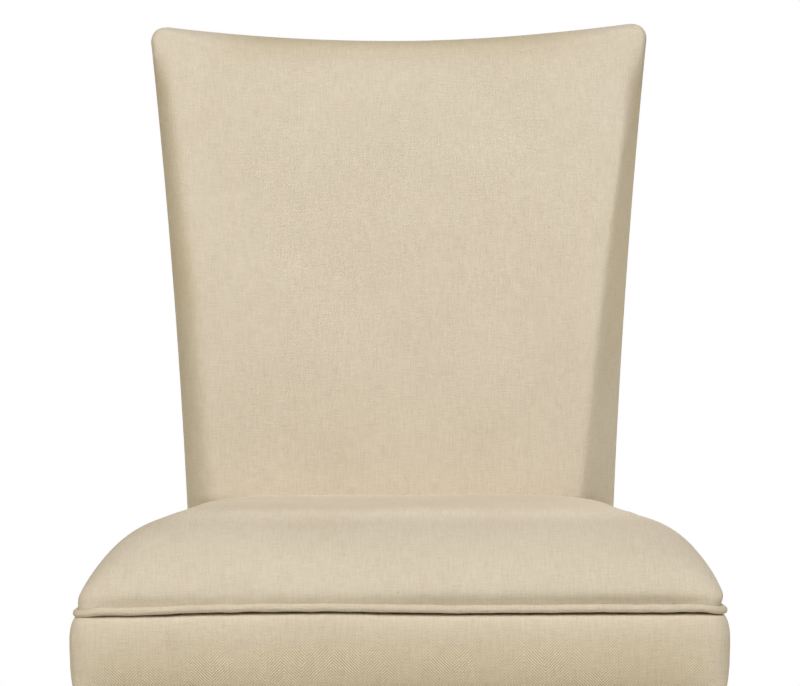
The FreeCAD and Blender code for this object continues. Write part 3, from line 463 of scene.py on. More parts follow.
# Lit and shaded copies of one linen: the seat's painted lighter, the rail's and the welt's darker and warmer
LINEN = linen("linen", (1.008, 1.005, 1.015))
LINEN_SEAT = linen("linen_seat", (1.13, 1.11, 1.085), painted_shade_tint=(0.863, 0.870, 0.880))
LINEN_RAIL = linen("linen_rail", (0.972, 0.962, 0.945), 0.0, 0.30, 0.28, (0.925, 0.888, 0.803))
LINEN_BIAS = linen("linen_bias", (0.965, 0.950, 0.915), math.radians(45))
SHOW_WOOD = polished_wood("polished_fruitwood", (0.075, 0.030, 0.013), (0.150, 0.064, 0.028),
                          (0.215, 0.100, 0.046), 0.34)
FRAME_WOOD_X = raw_wood("beech_across", (0.46, 0.30, 0.17), (0.62, 0.44, 0.28), 0)
FRAME_WOOD_Y = raw_wood("beech_along", (0.46, 0.30, 0.17), (0.62, 0.44, 0.28), 1)
JUTE_STRAP = coarse_weave("jute_strap", (0.25, 0.16, 0.08), (0.50, 0.37, 0.22), 0.003, (0.05, 0.05, 0.05))
HESSIAN = coarse_weave("hessian", (0.28, 0.19, 0.10), (0.52, 0.40, 0.25), 0.0022)
FOAM = soft_fill("foam", (0.72, 0.62, 0.40), (0.86, 0.78, 0.56), 900, 0.0004)
WADDING = soft_fill("wadding", (0.78, 0.77, 0.74), (0.92, 0.91, 0.88), 260, 0.0012)
CAMBRIC = soft_fill("black_cambric", (0.010, 0.010, 0.011), (0.030, 0.030, 0.032), 1400, 0.0002)
STEEL = bright_metal("zinc_plated_steel", (0.50, 0.50, 0.51), (0.66, 0.66, 0.68), 0.34)
THREAD = soft_fill("linen_thread", (0.46, 0.40, 0.30), (0.60, 0.53, 0.42), 1500, 0.0001)
NYLON = soft_fill("brown_nylon", (0.045, 0.028, 0.018), (0.075, 0.048, 0.030), 300, 0.0001)


def dress(material, *names):
    for name in names:
        piece = nodes[name]
        piece.data.materials.clear()
        piece.data.materials.append(material)


BOTH = ("left", "right")
dress(SHOW_WOOD, *["front_leg_" + side for side in BOTH], *["rear_post_" + side for side in BOTH])
dress(FRAME_WOOD_X, "front_rail", "rear_rail", "lower_back_rail", "crest_rail", "frame_dowels",
      *["corner_block_%s_%s" % (end, side) for end in ("front", "rear") for side in BOTH])
dress(FRAME_WOOD_Y, "side_rail_left", "side_rail_right")
dress(NYLON, *["glide_%s_%s" % (end, side) for end in ("front", "rear") for side in BOTH])
dress(STEEL, "corner_block_screws")
dress(JUTE_STRAP, "seat_webbing_lengthwise", "seat_webbing_crosswise", "back_webbing")
dress(HESSIAN, "seat_hessian")
dress(FOAM, "seat_foam", "back_foam")
dress(WADDING, "outside_back_wadding")


def mark_painted_shade(piece, amount):
    """Write how much painted shade each point of a piece gets, as its material reads it."""
    marks = piece.data.attributes.new("painted_shade", "FLOAT", "POINT")
    for vertex, mark in zip(piece.data.vertices, marks.data):
        mark.value = amount(vertex.co)


# Forms that the cloth is laid on


def half_seat(y, inset=0.0):
    return HALF_FRONT - NARROWING * (y - SEAT_FRONT) - inset


def back_share(z):
    return (z - BACK_WAIST) / (BACK_TOP - BACK_WAIST)


def half_back(z):
    part = back_share(z)
    return mix(BACK_HALF_LOW, BACK_HALF_HIGH, part) - BACK_SAG * 4 * part * (1 - part)


def swept(start, lean, z):
    reach = BACK_TOP - RAIL_TOP
    radius = (reach * reach + lean * lean) / (lean * 2)
    return start + radius - math.sqrt(radius * radius - (z - RAIL_TOP) ** 2)


def post_front(z):
    return swept(POST_FRONT, POST_LEAN, z)


def back_rear(z):
    return swept(POST_REAR, REAR_LEAN, z) + PADDING


def rolled(gap, radius):
    """Share of the full depth at a gap in from a quarter-round edge."""
    return math.sqrt(max(0.0, 1 - (1 - min(1.0, gap / radius)) ** 2))


# Kinds of hand-made unevenness: pitch, seed and size
TUCK_VARIES = (0.07, 2.0, 0.0010)
SEAT_SLOW = (0.11, 5.0, 0.0012)
SEAT_QUICK = (0.045, 8.0, 0.0004)
BORDER_VARIES = (0.09, 3.0, 0.0007)
WELT_SIDE = (0.08, 6.0, 0.0007)
WELT_RIPPLE = (0.015, 11.0, 0.0004)
WELT_THICK_SLOW = (0.02, 7.0, 0.05)
WELT_THICK_QUICK = (0.009, 12.0, 0.07)
DUST_VARIES = (0.06, 4.0, 0.0006)


def uneven(spot, kind):
    pitch, seed, size = kind
    return size * noise.noise(Vector(spot) / pitch + Vector((seed, seed * 1.7, seed * 0.3)))


# The seam between seat and rail runs down round the front corners, here at the left and at the right
CORNER_DROP = (0.0034, 0.0040)
# Zones across in which it goes down, and along the sides in which it comes up again
DROP_ZONE = (0.238, 0.026)
DROP_FADES = (-0.16, 0.2)


def corner_drop(x, y):
    """How much lower the seam lies round a front corner than along the front."""
    deepest = CORNER_DROP[0] if x < 0 else CORNER_DROP[1]
    return deepest * rising(abs(x), DROP_ZONE) * (1 - rising(y, DROP_FADES))


# Seat cushion
SEAT_BASE = 0.447
# How far the seat's cloth starts inside the rail's outline
SEAT_TUCK = 0.0036
# Rise of the crown above the base at this place, and its change per metre toward the back
SEAT_RISE = 0.0648
CROWN_FROM = -0.15
SEAT_FALL = -0.0461
# Power and root of the curve from the crown down to either side
LEFT_POWER = 8.0
LEFT_ROUND = 1.56
RIGHT_POWER = 6.7
RIGHT_ROUND = 2.28
# Share of the half width past the middle by which the right side's curve is reached
SIDE_BLEND = 0.5
# The seat sinks toward the back, but not at its sides
REAR_SINK = 0.0026
SINK_RUN = 0.13
SINK_POWER = 6
# Height over which a dropped corner runs out
DROP_HEIGHT = 0.022
# The roll from the seam up over the front edge, and the rows of cloth on it
FRONT_RUN = 0.1136
FRONT_POWER = 1.8
SEAT_ROLL = 44
SEAT_ROWS = 112
SEAT_COLUMNS = 128
# Where the seat's cloth meets the back: at its face, at the rear edge of a bevel and beside it
MEETS_FACE = 0.1325
MEETS_BEVEL = 0.1735
MEETS_SIDE = 0.212
# Shares of the half width at which the bevel starts, its run, and the zone of the side
BEVEL_FROM = 0.80
BEVEL_RUN = 0.17
SIDE_ZONE = (0.95, 0.05)
# The tuck above the welt: depth, height, reach in from the seam, least pull, deepening at the left corner
TUCK_DEPTH = 0.0036
TUCK_HEIGHT = 0.0065
TUCK_REACH = 0.02
LEAST_PULL = 0.05
LEFT_CORNER_TUCK = 0.35
# Along the front the tuck grows from the left to the right
FRONT_ZONE = 0.03
FRONT_SHARES = (0.75, 1.25)
FRONT_GROWS = (-0.2, 0.35)
# Rear end of the tuck and of the ripples, and the height at which these are full
TUCK_END = 0.12
RIPPLE_HEIGHT = 0.03
# Depths below the crown over which the painted shade of the front roll and the sides comes in
SEAT_SHADE_DEPTHS = (0.002, 0.009)
# The seat's cloth is held along the seam and behind this place; the swelling fades out before it
SEAM_HEIGHT = 0.004
HELD_BEHIND = 0.13
SWELL_FADE = 0.11
SEAT_PRESSURE = 9.0
SEAT_SWELL = 0.0012
# Depth of the cloth's edge in the seam, and the thickness of cloth and wadding
SEAM_TURNING = 0.005
PAD_THICKNESS = 0.0052


def seat_rear_line(share):
    """Where the seat's cloth meets the back: along its face, then round its bevelled side."""
    across = abs(share)
    along_bevel = min(1.0, max(0.0, (across - BEVEL_FROM) / BEVEL_RUN))
    if share < 0:
        along_bevel = ease(along_bevel)
    face = mix(MEETS_FACE, MEETS_BEVEL, along_bevel)
    return mix(face, MEETS_SIDE, rising(across, SIDE_ZONE))


def lay_seat(s, t):
    """Seat: from the seam up over the rolled front and the rounded sides to where it meets the back."""
    front = SEAT_FRONT + SEAT_TUCK
    share = math.sin(s * math.pi / 2)
    roll_rows = SEAT_ROLL / SEAT_ROWS
    if t < roll_rows:
        y = front + FRONT_RUN * (1 - math.cos(t / roll_rows * math.pi / 2))
    else:
        y = mix(front + FRONT_RUN, seat_rear_line(share), (t - roll_rows) / (1 - roll_rows))
    x = share * (half_seat(y, SEAT_TUCK) - SEAT_CORNER * (1 - rolled(y - front, SEAT_CORNER)))
    right = ease(share + SIDE_BLEND)
    side = max(0.0, 1 - abs(share) ** mix(LEFT_POWER, RIGHT_POWER, right))
    side = side ** (1 / mix(LEFT_ROUND, RIGHT_ROUND, right))
    near = min(1.0, (y - front) / FRONT_RUN)
    roll = max(0.0, 1 - (1 - near) ** FRONT_POWER) ** (1 / FRONT_POWER)
    z = SEAT_BASE + (SEAT_RISE + SEAT_FALL * (y - CROWN_FROM)) * side * roll
    z -= REAR_SINK * ease(y / SINK_RUN) * (1 - share ** SINK_POWER)
    z -= corner_drop(x, y) * (1 - ease((z - SEAT_BASE) / DROP_HEIGHT))
    return x, y, z


def tuck_seat(piece):
    """Draw the cloth in just above the welt, most at the right of the front, and make it a little uneven."""
    for vertex in piece.data.vertices:
        spot = vertex.co
        if spot.y > TUCK_END:
            continue
        drop = corner_drop(spot.x, spot.y)
        height = spot.z - SEAT_BASE + drop
        side_gap = half_seat(spot.y) - abs(spot.x)
        front_gap = spot.y - SEAT_FRONT
        sideways = math.copysign(1.0, spot.x) * math.exp(-side_gap / TUCK_REACH)
        away = Vector((sideways, -math.exp(-front_gap / TUCK_REACH), 0))
        if away.length > LEAST_PULL:
            away.normalize()
            strength = TUCK_DEPTH + uneven((spot.x, spot.y, 0), TUCK_VARIES)
            if front_gap < FRONT_ZONE:
                strength *= mix(*FRONT_SHARES, rising(spot.x, FRONT_GROWS))
            if spot.x < 0:
                strength += LEFT_CORNER_TUCK * drop
            spot -= away * strength * math.exp(-(height / TUCK_HEIGHT) ** 2)
        ripple = uneven((spot.x, spot.y, 0), SEAT_SLOW) + uneven((spot.x, spot.y, 0), SEAT_QUICK)
        spot.z += ripple * ease(height / RIPPLE_HEIGHT)


def seat_painted_shade(spot):
    """Painted shade where the seat falls away to the front and the sides, not on its flat top, which its
    linen's raised level paints lighter.
    """
    crown_height = SEAT_BASE + SEAT_RISE + SEAT_FALL * (spot.y - CROWN_FROM)
    return rising(crown_height - spot.z, SEAT_SHADE_DEPTHS)


def seat_held(spot):
    return 1.0 if spot.z < SEAT_BASE + SEAM_HEIGHT or spot.y > HELD_BEHIND else 0.0


def seat_swell(spot):
    return SEAT_SWELL * ease((HELD_BEHIND - spot.y) / SWELL_FADE)


def make_seat():
    piece = cut_cloth("seat_cushion", SEAT_COLUMNS, SEAT_ROWS, lay_seat)
    stuffed(piece, seat_held, SEAT_PRESSURE, seat_swell)
    tuck_seat(piece)
    mark_painted_shade(piece, seat_painted_shade)
    edit(piece, "DESELECT")
    bpy.ops.mesh.select_non_manifold()
    bpy.ops.mesh.extrude_edges_move(TRANSFORM_OT_translate={"value": (0, 0, -SEAM_TURNING)})
    bpy.ops.object.mode_set(mode="OBJECT")
    thicken(piece, PAD_THICKNESS, LINEN_SEAT)
    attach(piece, "root")
    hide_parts("seat_cover", "seat_wadding")


# Back cushion
BACK_COLUMNS = 128
BACK_ROWS = 140
# Steps of the cloth from the face to the outside back, as many at the sides as at the crest so that they weld
WALL_STEPS = 8
SIDE_WALL = 2 * WALL_STEPS / BACK_COLUMNS
TOP_WALL = WALL_STEPS / BACK_ROWS
NO_WALL = 0.001
# Powers that crowd the cloth's points toward the sides and the crest
CROWD_SIDES = 1.35
CROWD_CREST = 1.25
# The right end of the crest stands a little higher
CREST_LIFT = 0.0016
CREST_ROLL = 0.017
# Softness of the right edge at the waist and at the crest, and the zone in which it changes
EDGE_SOFT = (0.12, 0.9)
SOFT_ZONE = (0.68, 0.24)
# Roundness of the edges at the crest's two full corners, and their zones upward and along the crest
CORNER_ROLL = 0.006
CORNER_ZONE = (0.84, 0.14)
CREST_CORNER = (0.7, 0.25)
# Width of the side bevels at the waist and at the crest
LEFT_BEVEL = (0.0315, 0.0165)
RIGHT_BEVEL = (0.0347, 0.0096)
# Level, slope and bend up the back, of the padding's depth at the bevels and of its middle beyond them
EDGE_DEPTH = (0.043, -0.0376, 0.0186)
MIDDLE_CROWN = (0.003, -0.0385, 0.0405)
# The padding is thinner at its foot, behind the seat
FOOT_ZONE = (0.47, 0.025)
FOOT_FULLNESS = 0.75
# Margin round the bevels and the crest inside which the face can't swell
HELD_MARGIN = 1.2
BACK_PRESSURE = 3.0
BACK_SWELL = 0.0008
# Painted shade on the side bevels from the waist upward, and a darker band along the crest
SIDE_SHADE = (0.16, 0.57)
SIDE_SHADE_RISE = 0.45
SIDE_SHADE_POWER = 6
CREST_DARKER = 0.76
CREST_REACH = 0.02
CREST_FADES = (0.5, 0.42)


def crest_height(share):
    return BACK_TOP - CREST_DIP * (1 - share * share) + CREST_LIFT * ease(share)


def corner_share(part):
    """How far up into the full corners of the crest a height lies."""
    return rising(part, CORNER_ZONE)


def bevel_width(across, part):
    low, high = LEFT_BEVEL if across < 0 else RIGHT_BEVEL
    return mix(low, high, part)


def bevel(share, gap, part):
    """Share of the padding's depth at a gap in from the side: the left edge is rolled, the right one is
    crisp and softens upward, and both run out at the full corners of the crest."""
    inward = gap / bevel_width(share, part)
    soft = mix(*EDGE_SOFT, rising(part, SOFT_ZONE))
    if share < 0:
        depth = 1 - (1 - min(1.0, inward)) ** 2
    elif inward < 1 - soft:
        depth = inward
    else:
        past = min(1.0, (inward - 1 + soft) / (soft * 2))
        depth = 1 - soft * (1 - past) ** 2
    return mix(depth, rolled(gap, CORNER_ROLL), corner_share(part))


def curve(part, terms):
    level, slope, bend = terms
    return level + slope * part + bend * part * part


def back_rim(share, rise):
    """Place on the back's outline plane, and how far its front stands out there."""
    top = crest_height(share)
    z = mix(BACK_BASE, top, rise)
    half = half_back(z) - BACK_CORNER * (1 - rolled(top - z, BACK_CORNER))
    part = max(0.0, back_share(z))
    side = bevel(share, half * (1 - abs(share)), part)
    crest = rolled(top - z, mix(CREST_ROLL, CORNER_ROLL, rising(abs(share), CREST_CORNER)))
    fullness = mix(FOOT_FULLNESS, 1.0, rising(z, FOOT_ZONE))
    stand = (curve(part, EDGE_DEPTH) * side + curve(part, MIDDLE_CROWN) * (1 - share * share)) * fullness
    return share * half, z, stand * crest


def lay_back(s, t):
    """Inside back: flat face, bevelled sides, rolled crest, and walls running back to the outside back."""
    side_wall = max(0.0, (abs(s) - (1 - SIDE_WALL)) / SIDE_WALL)
    top_wall = max(0.0, (t - (1 - TOP_WALL)) / TOP_WALL)
    if min(side_wall, top_wall) > NO_WALL:
        return None
    across = min(1.0, abs(s) / (1 - SIDE_WALL))
    share = math.copysign(1 - (1 - across) ** CROWD_SIDES, s)
    rise = 1 - (1 - min(1.0, t / (1 - TOP_WALL))) ** CROWD_CREST
    x, z, stand = back_rim(share, rise)
    return x, mix(post_front(z) - stand, back_rear(z), max(side_wall, top_wall)), z


def back_held(spot):
    """The cloth is held at the foot, along the crest and on the side bevels; only the face swells."""
    part = max(0.0, back_share(spot.z))
    at_side = half_back(spot.z) - abs(spot.x) < bevel_width(spot.x, part) * HELD_MARGIN
    at_crest = spot.z > crest_height(spot.x / BACK_HALF_HIGH) - CREST_ROLL * HELD_MARGIN
    return 1.0 if at_side or at_crest or spot.z < FOOT_ZONE[0] else 0.0


def back_painted_shade(spot):
    """Painted shade on the side bevels from the waist upward, and a darker band along the crest."""
    part = min(1.0, max(0.0, back_share(spot.z)))
    side_gap = max(0.0, half_back(spot.z) - abs(spot.x))
    crest_gap = max(0.0, crest_height(spot.x / BACK_HALF_HIGH) - spot.z)
    side = math.exp(-(side_gap / bevel_width(spot.x, part)) ** SIDE_SHADE_POWER)
    side *= mix(*SIDE_SHADE, ease(part / SIDE_SHADE_RISE)) * (1 - corner_share(part))
    outer = rising(abs(spot.x) / BACK_HALF_HIGH, CREST_FADES)
    crest = CREST_DARKER * math.exp(-(crest_gap / CREST_REACH) ** 2) * (1 - outer)
    return max(side, crest)


def make_back():
    piece = cut_cloth("back_cushion", BACK_COLUMNS, BACK_ROWS, lay_back)
    stuffed(piece, back_held, BACK_PRESSURE, lambda spot: BACK_SWELL)
    mark_painted_shade(piece, back_painted_shade)
    thicken(piece, PAD_THICKNESS, LINEN)
    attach(piece, "root")
    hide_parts("inside_back_cover", "back_wadding")


# The path of the welt and the border, from the rear left round the front to the rear right, and its end gap
PATH_END = 0.0012


def rail_path(share, inset):
    """Place and outward direction at a share of the way round the three sides."""
    near = SEAT_FRONT + inset
    corner_x = half_seat(near, inset * SLANTED)
    radius = SEAT_CORNER
    tangent = radius * (SLANTED + NARROWING)
    turn = Vector((corner_x - tangent, near + radius, 0))
    arc = math.pi / 2 + SLANT
    side_end = Vector((corner_x - tangent * NARROWING * math.cos(SLANT), near + tangent * math.cos(SLANT), 0))
    rear_y = SEAT_REAR - PATH_END
    rear_end = Vector((half_seat(rear_y, inset * SLANTED), rear_y, 0))
    side = (rear_end - side_end).length
    bend = radius * arc
    front = corner_x - tangent
    total = side + bend + front
    way = abs(share) * total
    if way <= front:
        spot = Vector((way, near, 0))
        out = Vector((0, -1, 0))
    elif way <= front + bend:
        angle = (way - front) / radius
        out = Vector((math.sin(angle), -math.cos(angle), 0))
        spot = turn + out * radius
    else:
        part = (way - front - bend) / side
        spot = side_end.lerp(rear_end, part)
        out = Vector((math.cos(SLANT), math.sin(SLANT), 0))
    if share < 0:
        spot.x = -spot.x
        out.x = -out.x
    return spot, out, total


WELT_INSET = 0.005
# The welt thins and turns in toward its two rear ends, over this length
WELT_TAPER = 0.016
WELT_END_SHARE = 0.8
WELT_END_IN = 0.0016
# Sideways shift of the whole welt, as it is sewn on in the photo
WELT_SHIFT = 0.0003
WELT_WELD_GAP = 0.00002
WELT_COLUMNS = 420
WELT_ROUND = 16
# The front, on which the welt follows its seam's waves, ends at this place along the sides
WAVES_END = -0.2
WAVES_HALF = 0.252
# Height of the welt above its seam along the front, in millimetres
WELT_WAVES = ((-0.252, 0.0), (-0.205, 0.3), (-0.16, 2.1), (-0.10, 2.7), (-0.05, 2.8), (0.0, 1.6), (0.05, 0.9),
              (0.10, 1.1), (0.15, 1.2), (0.20, 1.0), (0.252, 1.3))


def welt_lift(x):
    if abs(x) >= WAVES_HALF:
        return (WELT_WAVES[0] if x < 0 else WELT_WAVES[-1])[1]
    for low, high in zip(WELT_WAVES, WELT_WAVES[1:]):
        if x <= high[0]:
            return mix(low[1], high[1], ease((x - low[0]) / (high[0] - low[0])))


# Share of the way up the border's cloth, reach beyond the rail's outline, height
BORDER_PROFILE = (
    (0.00, -0.0200, 0.3598), (0.14, -0.0084, 0.3598), (0.17, -0.0070, 0.3604), (0.20, -0.0062, 0.3632),
    (0.28, -0.0055, 0.3740), (0.33, -0.0040, 0.3800), (0.38, -0.0023, 0.3860), (0.47, -0.0008, 0.3957),
    (0.58, -0.0001, 0.4085), (0.69, 0.0000, 0.4213), (0.77, -0.0008, 0.4285), (0.83, -0.0020, 0.4336),
    (0.88, -0.0037, 0.4370), (0.92, -0.0062, 0.4388), (1.00, -0.0115, 0.4394),
)


# How much the border's lower edge is drawn in at the sides and at the front
TUCK_TOP = 0.4
SIDE_TUCK = 0.55
FRONT_TUCK = 1.25
DEEPEST_TUCK = 0.0062
CORNER_TUCK = 0.0012
# The welt lifts this many millimetres before the border follows it
WELT_SLACK = 1.2
MILLIMETRE = 0.001
# Zones up the border's cloth in which it follows the welt, and its dropped corners by this share
FOLLOWS = (0.69, 0.2)
FOLLOWS_CORNER = (0.62, 0.25)
CORNER_SHARE = 0.4
# Direction beyond which the border counts as front, and zones at its edges in which it isn't uneven
FRONT_FACING = -0.9
EVEN_BELOW = (0.362, 0.02)
EVEN_ABOVE = (-0.44, 0.012)
# Zone in which a corner turns, from the product of the direction's two parts
TURN_ZONE = (0.25, 0.6)
BORDER_COLUMNS = 240
BORDER_ROWS = 44
BORDER_THICKNESS = 0.0014
# Share by which its unevenness is drawn out upward
UNEVEN_UPWARD = 0.6


def lay_border(s, t):
    """Border of the rails: turned in under the welt, swelling over the rail, turned under its lower edge."""
    spot, out, total = rail_path(s, 0.0)
    for low, high in zip(BORDER_PROFILE, BORDER_PROFILE[1:]):
        if t <= high[0]:
            part = (t - low[0]) / (high[0] - low[0])
            reach = mix(low[1], high[1], part)
            z = mix(low[2], high[2], part)
            break
    swell = uneven((s * total, 0, z * UNEVEN_UPWARD), BORDER_VARIES)
    swell *= rising(z, EVEN_BELOW) * rising(-z, EVEN_ABOVE)
    if RAIL_BOTTOM < z < TUCK_TOP:
        turning = rising(2 * abs(out.x * out.y), TURN_ZONE)
        deepest = mix(DEEPEST_TUCK, CORNER_TUCK, turning)
        reach = max(reach * mix(SIDE_TUCK, FRONT_TUCK, max(0.0, -out.y)), -deepest)
    if out.y < FRONT_FACING:
        z += max(0.0, welt_lift(spot.x) - WELT_SLACK) * MILLIMETRE * rising(t, FOLLOWS)
    z -= corner_drop(spot.x, spot.y) * CORNER_SHARE * rising(t, FOLLOWS_CORNER)
    spot = spot + out * (reach + swell)
    return spot.x, spot.y, z


def make_border():
    piece = cut_cloth("rail_border", BORDER_COLUMNS, BORDER_ROWS, lay_border)
    finish_with(piece, "SMOOTH", factor=0.5, iterations=3)
    thicken(piece, BORDER_THICKNESS, LINEN_RAIL)
    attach(piece, "root")
    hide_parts("rail_band", "rail_wadding")


def lay_welt(s, t):
    """Welt: a tube along the seam, following its waves along the front and its drop at the corners."""
    spot, out, total = rail_path(s, WELT_INSET)
    way = s * total
    angle = t * 2 * math.pi
    if spot.y < WAVES_END:
        lift = welt_lift(spot.x) * MILLIMETRE
    else:
        lift = uneven((way, 0, 0), WELT_SIDE)
    lift += uneven((way, 2, 0), WELT_RIPPLE) - corner_drop(spot.x, spot.y)
    swell = 1 + uneven((way, 1, 0), WELT_THICK_SLOW) + uneven((way, 3, 0), WELT_THICK_QUICK)
    ending = ease((1 - abs(s)) * total / WELT_TAPER)
    swell *= mix(WELT_END_SHARE, 1.0, ending)
    reach = math.cos(angle) * WELT_RADIUS * swell - WELT_END_IN * (1 - ending)
    place = spot + out * reach
    return place.x + WELT_SHIFT * ending, place.y, WELT_Z + lift + math.sin(angle) * WELT_RADIUS * swell


def make_welt():
    piece = cut_cloth("seat_welt", WELT_COLUMNS, WELT_ROUND, lay_welt)
    edit(piece, "SELECT")
    bpy.ops.mesh.remove_doubles(threshold=WELT_WELD_GAP)
    bpy.ops.mesh.select_all(action="DESELECT")
    bpy.ops.mesh.select_non_manifold()
    bpy.ops.mesh.fill()
    bpy.ops.object.mode_set(mode="OBJECT")
    outward(piece)
    smooth(piece, 60)
    piece.data.materials.append(LINEN_BIAS)
    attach(piece, "root")
    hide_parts("welt_cover", "welt_core")


# Outside back: inset of its edges, run under the rail, drawn-in foot, and narrowing from rail to back
OUTSIDE_INSET = 0.0018
OUTSIDE_UNDER = 0.001
FOOT_DRAWN_IN = 0.0022
FOOT_DRAWN = (RAIL_BOTTOM, 0.03)
NARROWS_BELOW = 0.01
NARROWS_RUN = 0.02
# Its sewn edge is turned in, and its middle stands out a little; the crest's edge lies a little deeper
TURNED_IN = 0.0030
TURNED_RUN = 0.0035
CREST_EDGE = 0.0005
OUTSIDE_FULL = 0.0012
OUTSIDE_FULL_RUN = 0.06
OUTSIDE_SUNK = 0.0004
OUTSIDE_COLUMNS = 72
OUTSIDE_ROWS = 120
OUTSIDE_THICKNESS = 0.0012


def lay_outside(share, t):
    """Outside back: a panel stretched from under the rail to the crest, its edges turned in and sewn."""
    top = crest_height(share) - OUTSIDE_INSET
    z = mix(RAIL_BOTTOM - OUTSIDE_UNDER, top, t)
    drawn_in = FOOT_DRAWN_IN * (1 - rising(z, FOOT_DRAWN))
    rail_half = half_seat(SEAT_REAR) + OUTSIDE_INSET - drawn_in
    low_half = mix(rail_half, BACK_HALF_LOW, ease((z - RAIL_TOP + NARROWS_BELOW) / NARROWS_RUN))
    half = half_back(z) if z > BACK_WAIST else low_half
    half = half - OUTSIDE_INSET - BACK_CORNER * (1 - rolled(top - z, BACK_CORNER))
    rear = back_rear(z) if z > RAIL_TOP else SEAT_REAR
    edge = min(half * (1 - abs(share)), top - z + CREST_EDGE)
    turned = TURNED_IN * math.exp(-edge / TURNED_RUN)
    full = OUTSIDE_FULL * ease(edge / OUTSIDE_FULL_RUN)
    return share * half, rear - OUTSIDE_SUNK - turned + full, z


def make_outside_back():
    piece = cut_cloth("outside_back", OUTSIDE_COLUMNS, OUTSIDE_ROWS, lay_outside)
    thicken(piece, OUTSIDE_THICKNESS, LINEN)
    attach(piece, "root")
    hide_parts("outside_back_cover")


# Dust cloth under the frame, its staples, and the slip stitches of the outside back
DUST_FRONT = -0.2805
DUST_REAR = 0.2115
DUST_INSET = 0.014
DUST_NOTCH = 0.821
DUST_ROWS = 76
NOTCH_ROWS = 6
DUST_COLUMNS = 100
DUST_Z = 0.3597
DUST_SAG = 0.0026
DUST_SAG_RUN = 0.13
DUST_VARIES_RUN = 0.03
# Pulls of the tacks along the edge, width of the hem, and thickness of the cloth, which the hem doubles
TACK_PULL = 0.0004
TACK_RUN = 0.012
HEM = 0.009
DUST_THICKNESS = 0.0006
# Staples: pitch, depth under the cloth, distance in from its edge, steps along a rail, and their runs
STAPLE_PITCH = 0.036
STAPLE_UNDER = 0.0018
STAPLE_IN = 0.0055
STAPLE_STEPS = 11
STAPLES_HALF = 0.196
STAPLES_REAR_SHARE = 0.78
STAPLES_FROM = -0.228
STAPLES_TO = 0.160
STAPLE_SIZE = (0.0108, 0.0010, 0.0006)
STAPLE_LEG_AT = 0.0044
STAPLE_LEG = 0.0032
STAPLE_BEVEL = 0.00018
# Slip stitches: pitch, thread, leans, place in the seam, lowest height and share of the crest
STITCH_PITCH = 0.0095
STITCH_RADIUS = 0.0004
STITCH_STRETCH = 6.0
SIDE_LEAN = math.radians(62)
CREST_LEAN = math.radians(26)
STITCH_IN = 0.0012
STITCH_SUNK = 0.0006
STITCHES_FROM = 0.45
CREST_STITCHED = 0.9


def lay_dust(s, t):
    """Black cambric tacked under the rails, cut out round the legs, sagging a little between its tacks."""
    at_end = min(t, 1 - t) * DUST_ROWS < NOTCH_ROWS - 0.5
    if abs(s) > DUST_NOTCH and at_end:
        return None
    y = mix(DUST_FRONT, DUST_REAR, t)
    half = half_seat(y, DUST_INSET)
    x = s * half
    edge = min(half - abs(x), y - DUST_FRONT, DUST_REAR - y)
    sag = DUST_SAG * ease(edge / DUST_SAG_RUN) + uneven((x, y, 0), DUST_VARIES) * ease(edge / DUST_VARIES_RUN)
    tacked = TACK_PULL * math.sin((x + y) * 2 * math.pi / STAPLE_PITCH) * math.exp(-edge / TACK_RUN)
    hem = DUST_THICKNESS if edge < HEM else 0.0
    return x, y, DUST_Z - sag - hem - tacked


def make_dust_cloth():
    piece = cut_cloth("dust_cloth", DUST_COLUMNS, DUST_ROWS, lay_dust)
    finish_with(piece, "SOLIDIFY", thickness=DUST_THICKNESS, offset=0.0)
    outward(piece)
    smooth(piece, 40)
    piece.data.materials.append(CAMBRIC)
    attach(piece, "root")
    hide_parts("dust_cover")


def copied_along(pattern, name, places):
    """Copies of a small pattern at each place and turn, joined to one piece with its place in its mesh."""
    copies = []
    for spot, turn in places:
        copy = pattern.copy()
        copy.data = pattern.data.copy()
        bpy.context.scene.collection.objects.link(copy)
        copy.location = spot
        copy.rotation_euler = turn
        copies.append(copy)
    bpy.data.objects.remove(pattern)
    nothing_selected()
    for copy in copies:
        copy.select_set(True)
    bpy.context.view_layer.objects.active = copies[0]
    bpy.ops.object.join()
    piece = bpy.context.object
    bpy.ops.object.transform_apply(location=True, rotation=True, scale=True)
    piece.name = name
    piece.data.name = name
    return piece


def staple_places():
    """Staples along the front, the rear and both sides of the dust cloth, each with its turn."""
    under = DUST_Z - STAPLE_UNDER
    places = []
    for number in range(STAPLE_STEPS + 1):
        x = mix(-STAPLES_HALF, STAPLES_HALF, number / STAPLE_STEPS)
        places.append(((x, DUST_FRONT + STAPLE_IN, under), (0, 0, 0)))
        places.append(((x * STAPLES_REAR_SHARE, DUST_REAR - STAPLE_IN, under), (0, 0, 0)))
    for number in range(STAPLE_STEPS + 1):
        y = mix(STAPLES_FROM, STAPLES_TO, number / STAPLE_STEPS)
        for side in (-1, 1):
            x = side * (half_seat(y, DUST_INSET) - STAPLE_IN)
            places.append(((x, y, under), (0, 0, math.pi / 2 + side * SLANT)))
    return places


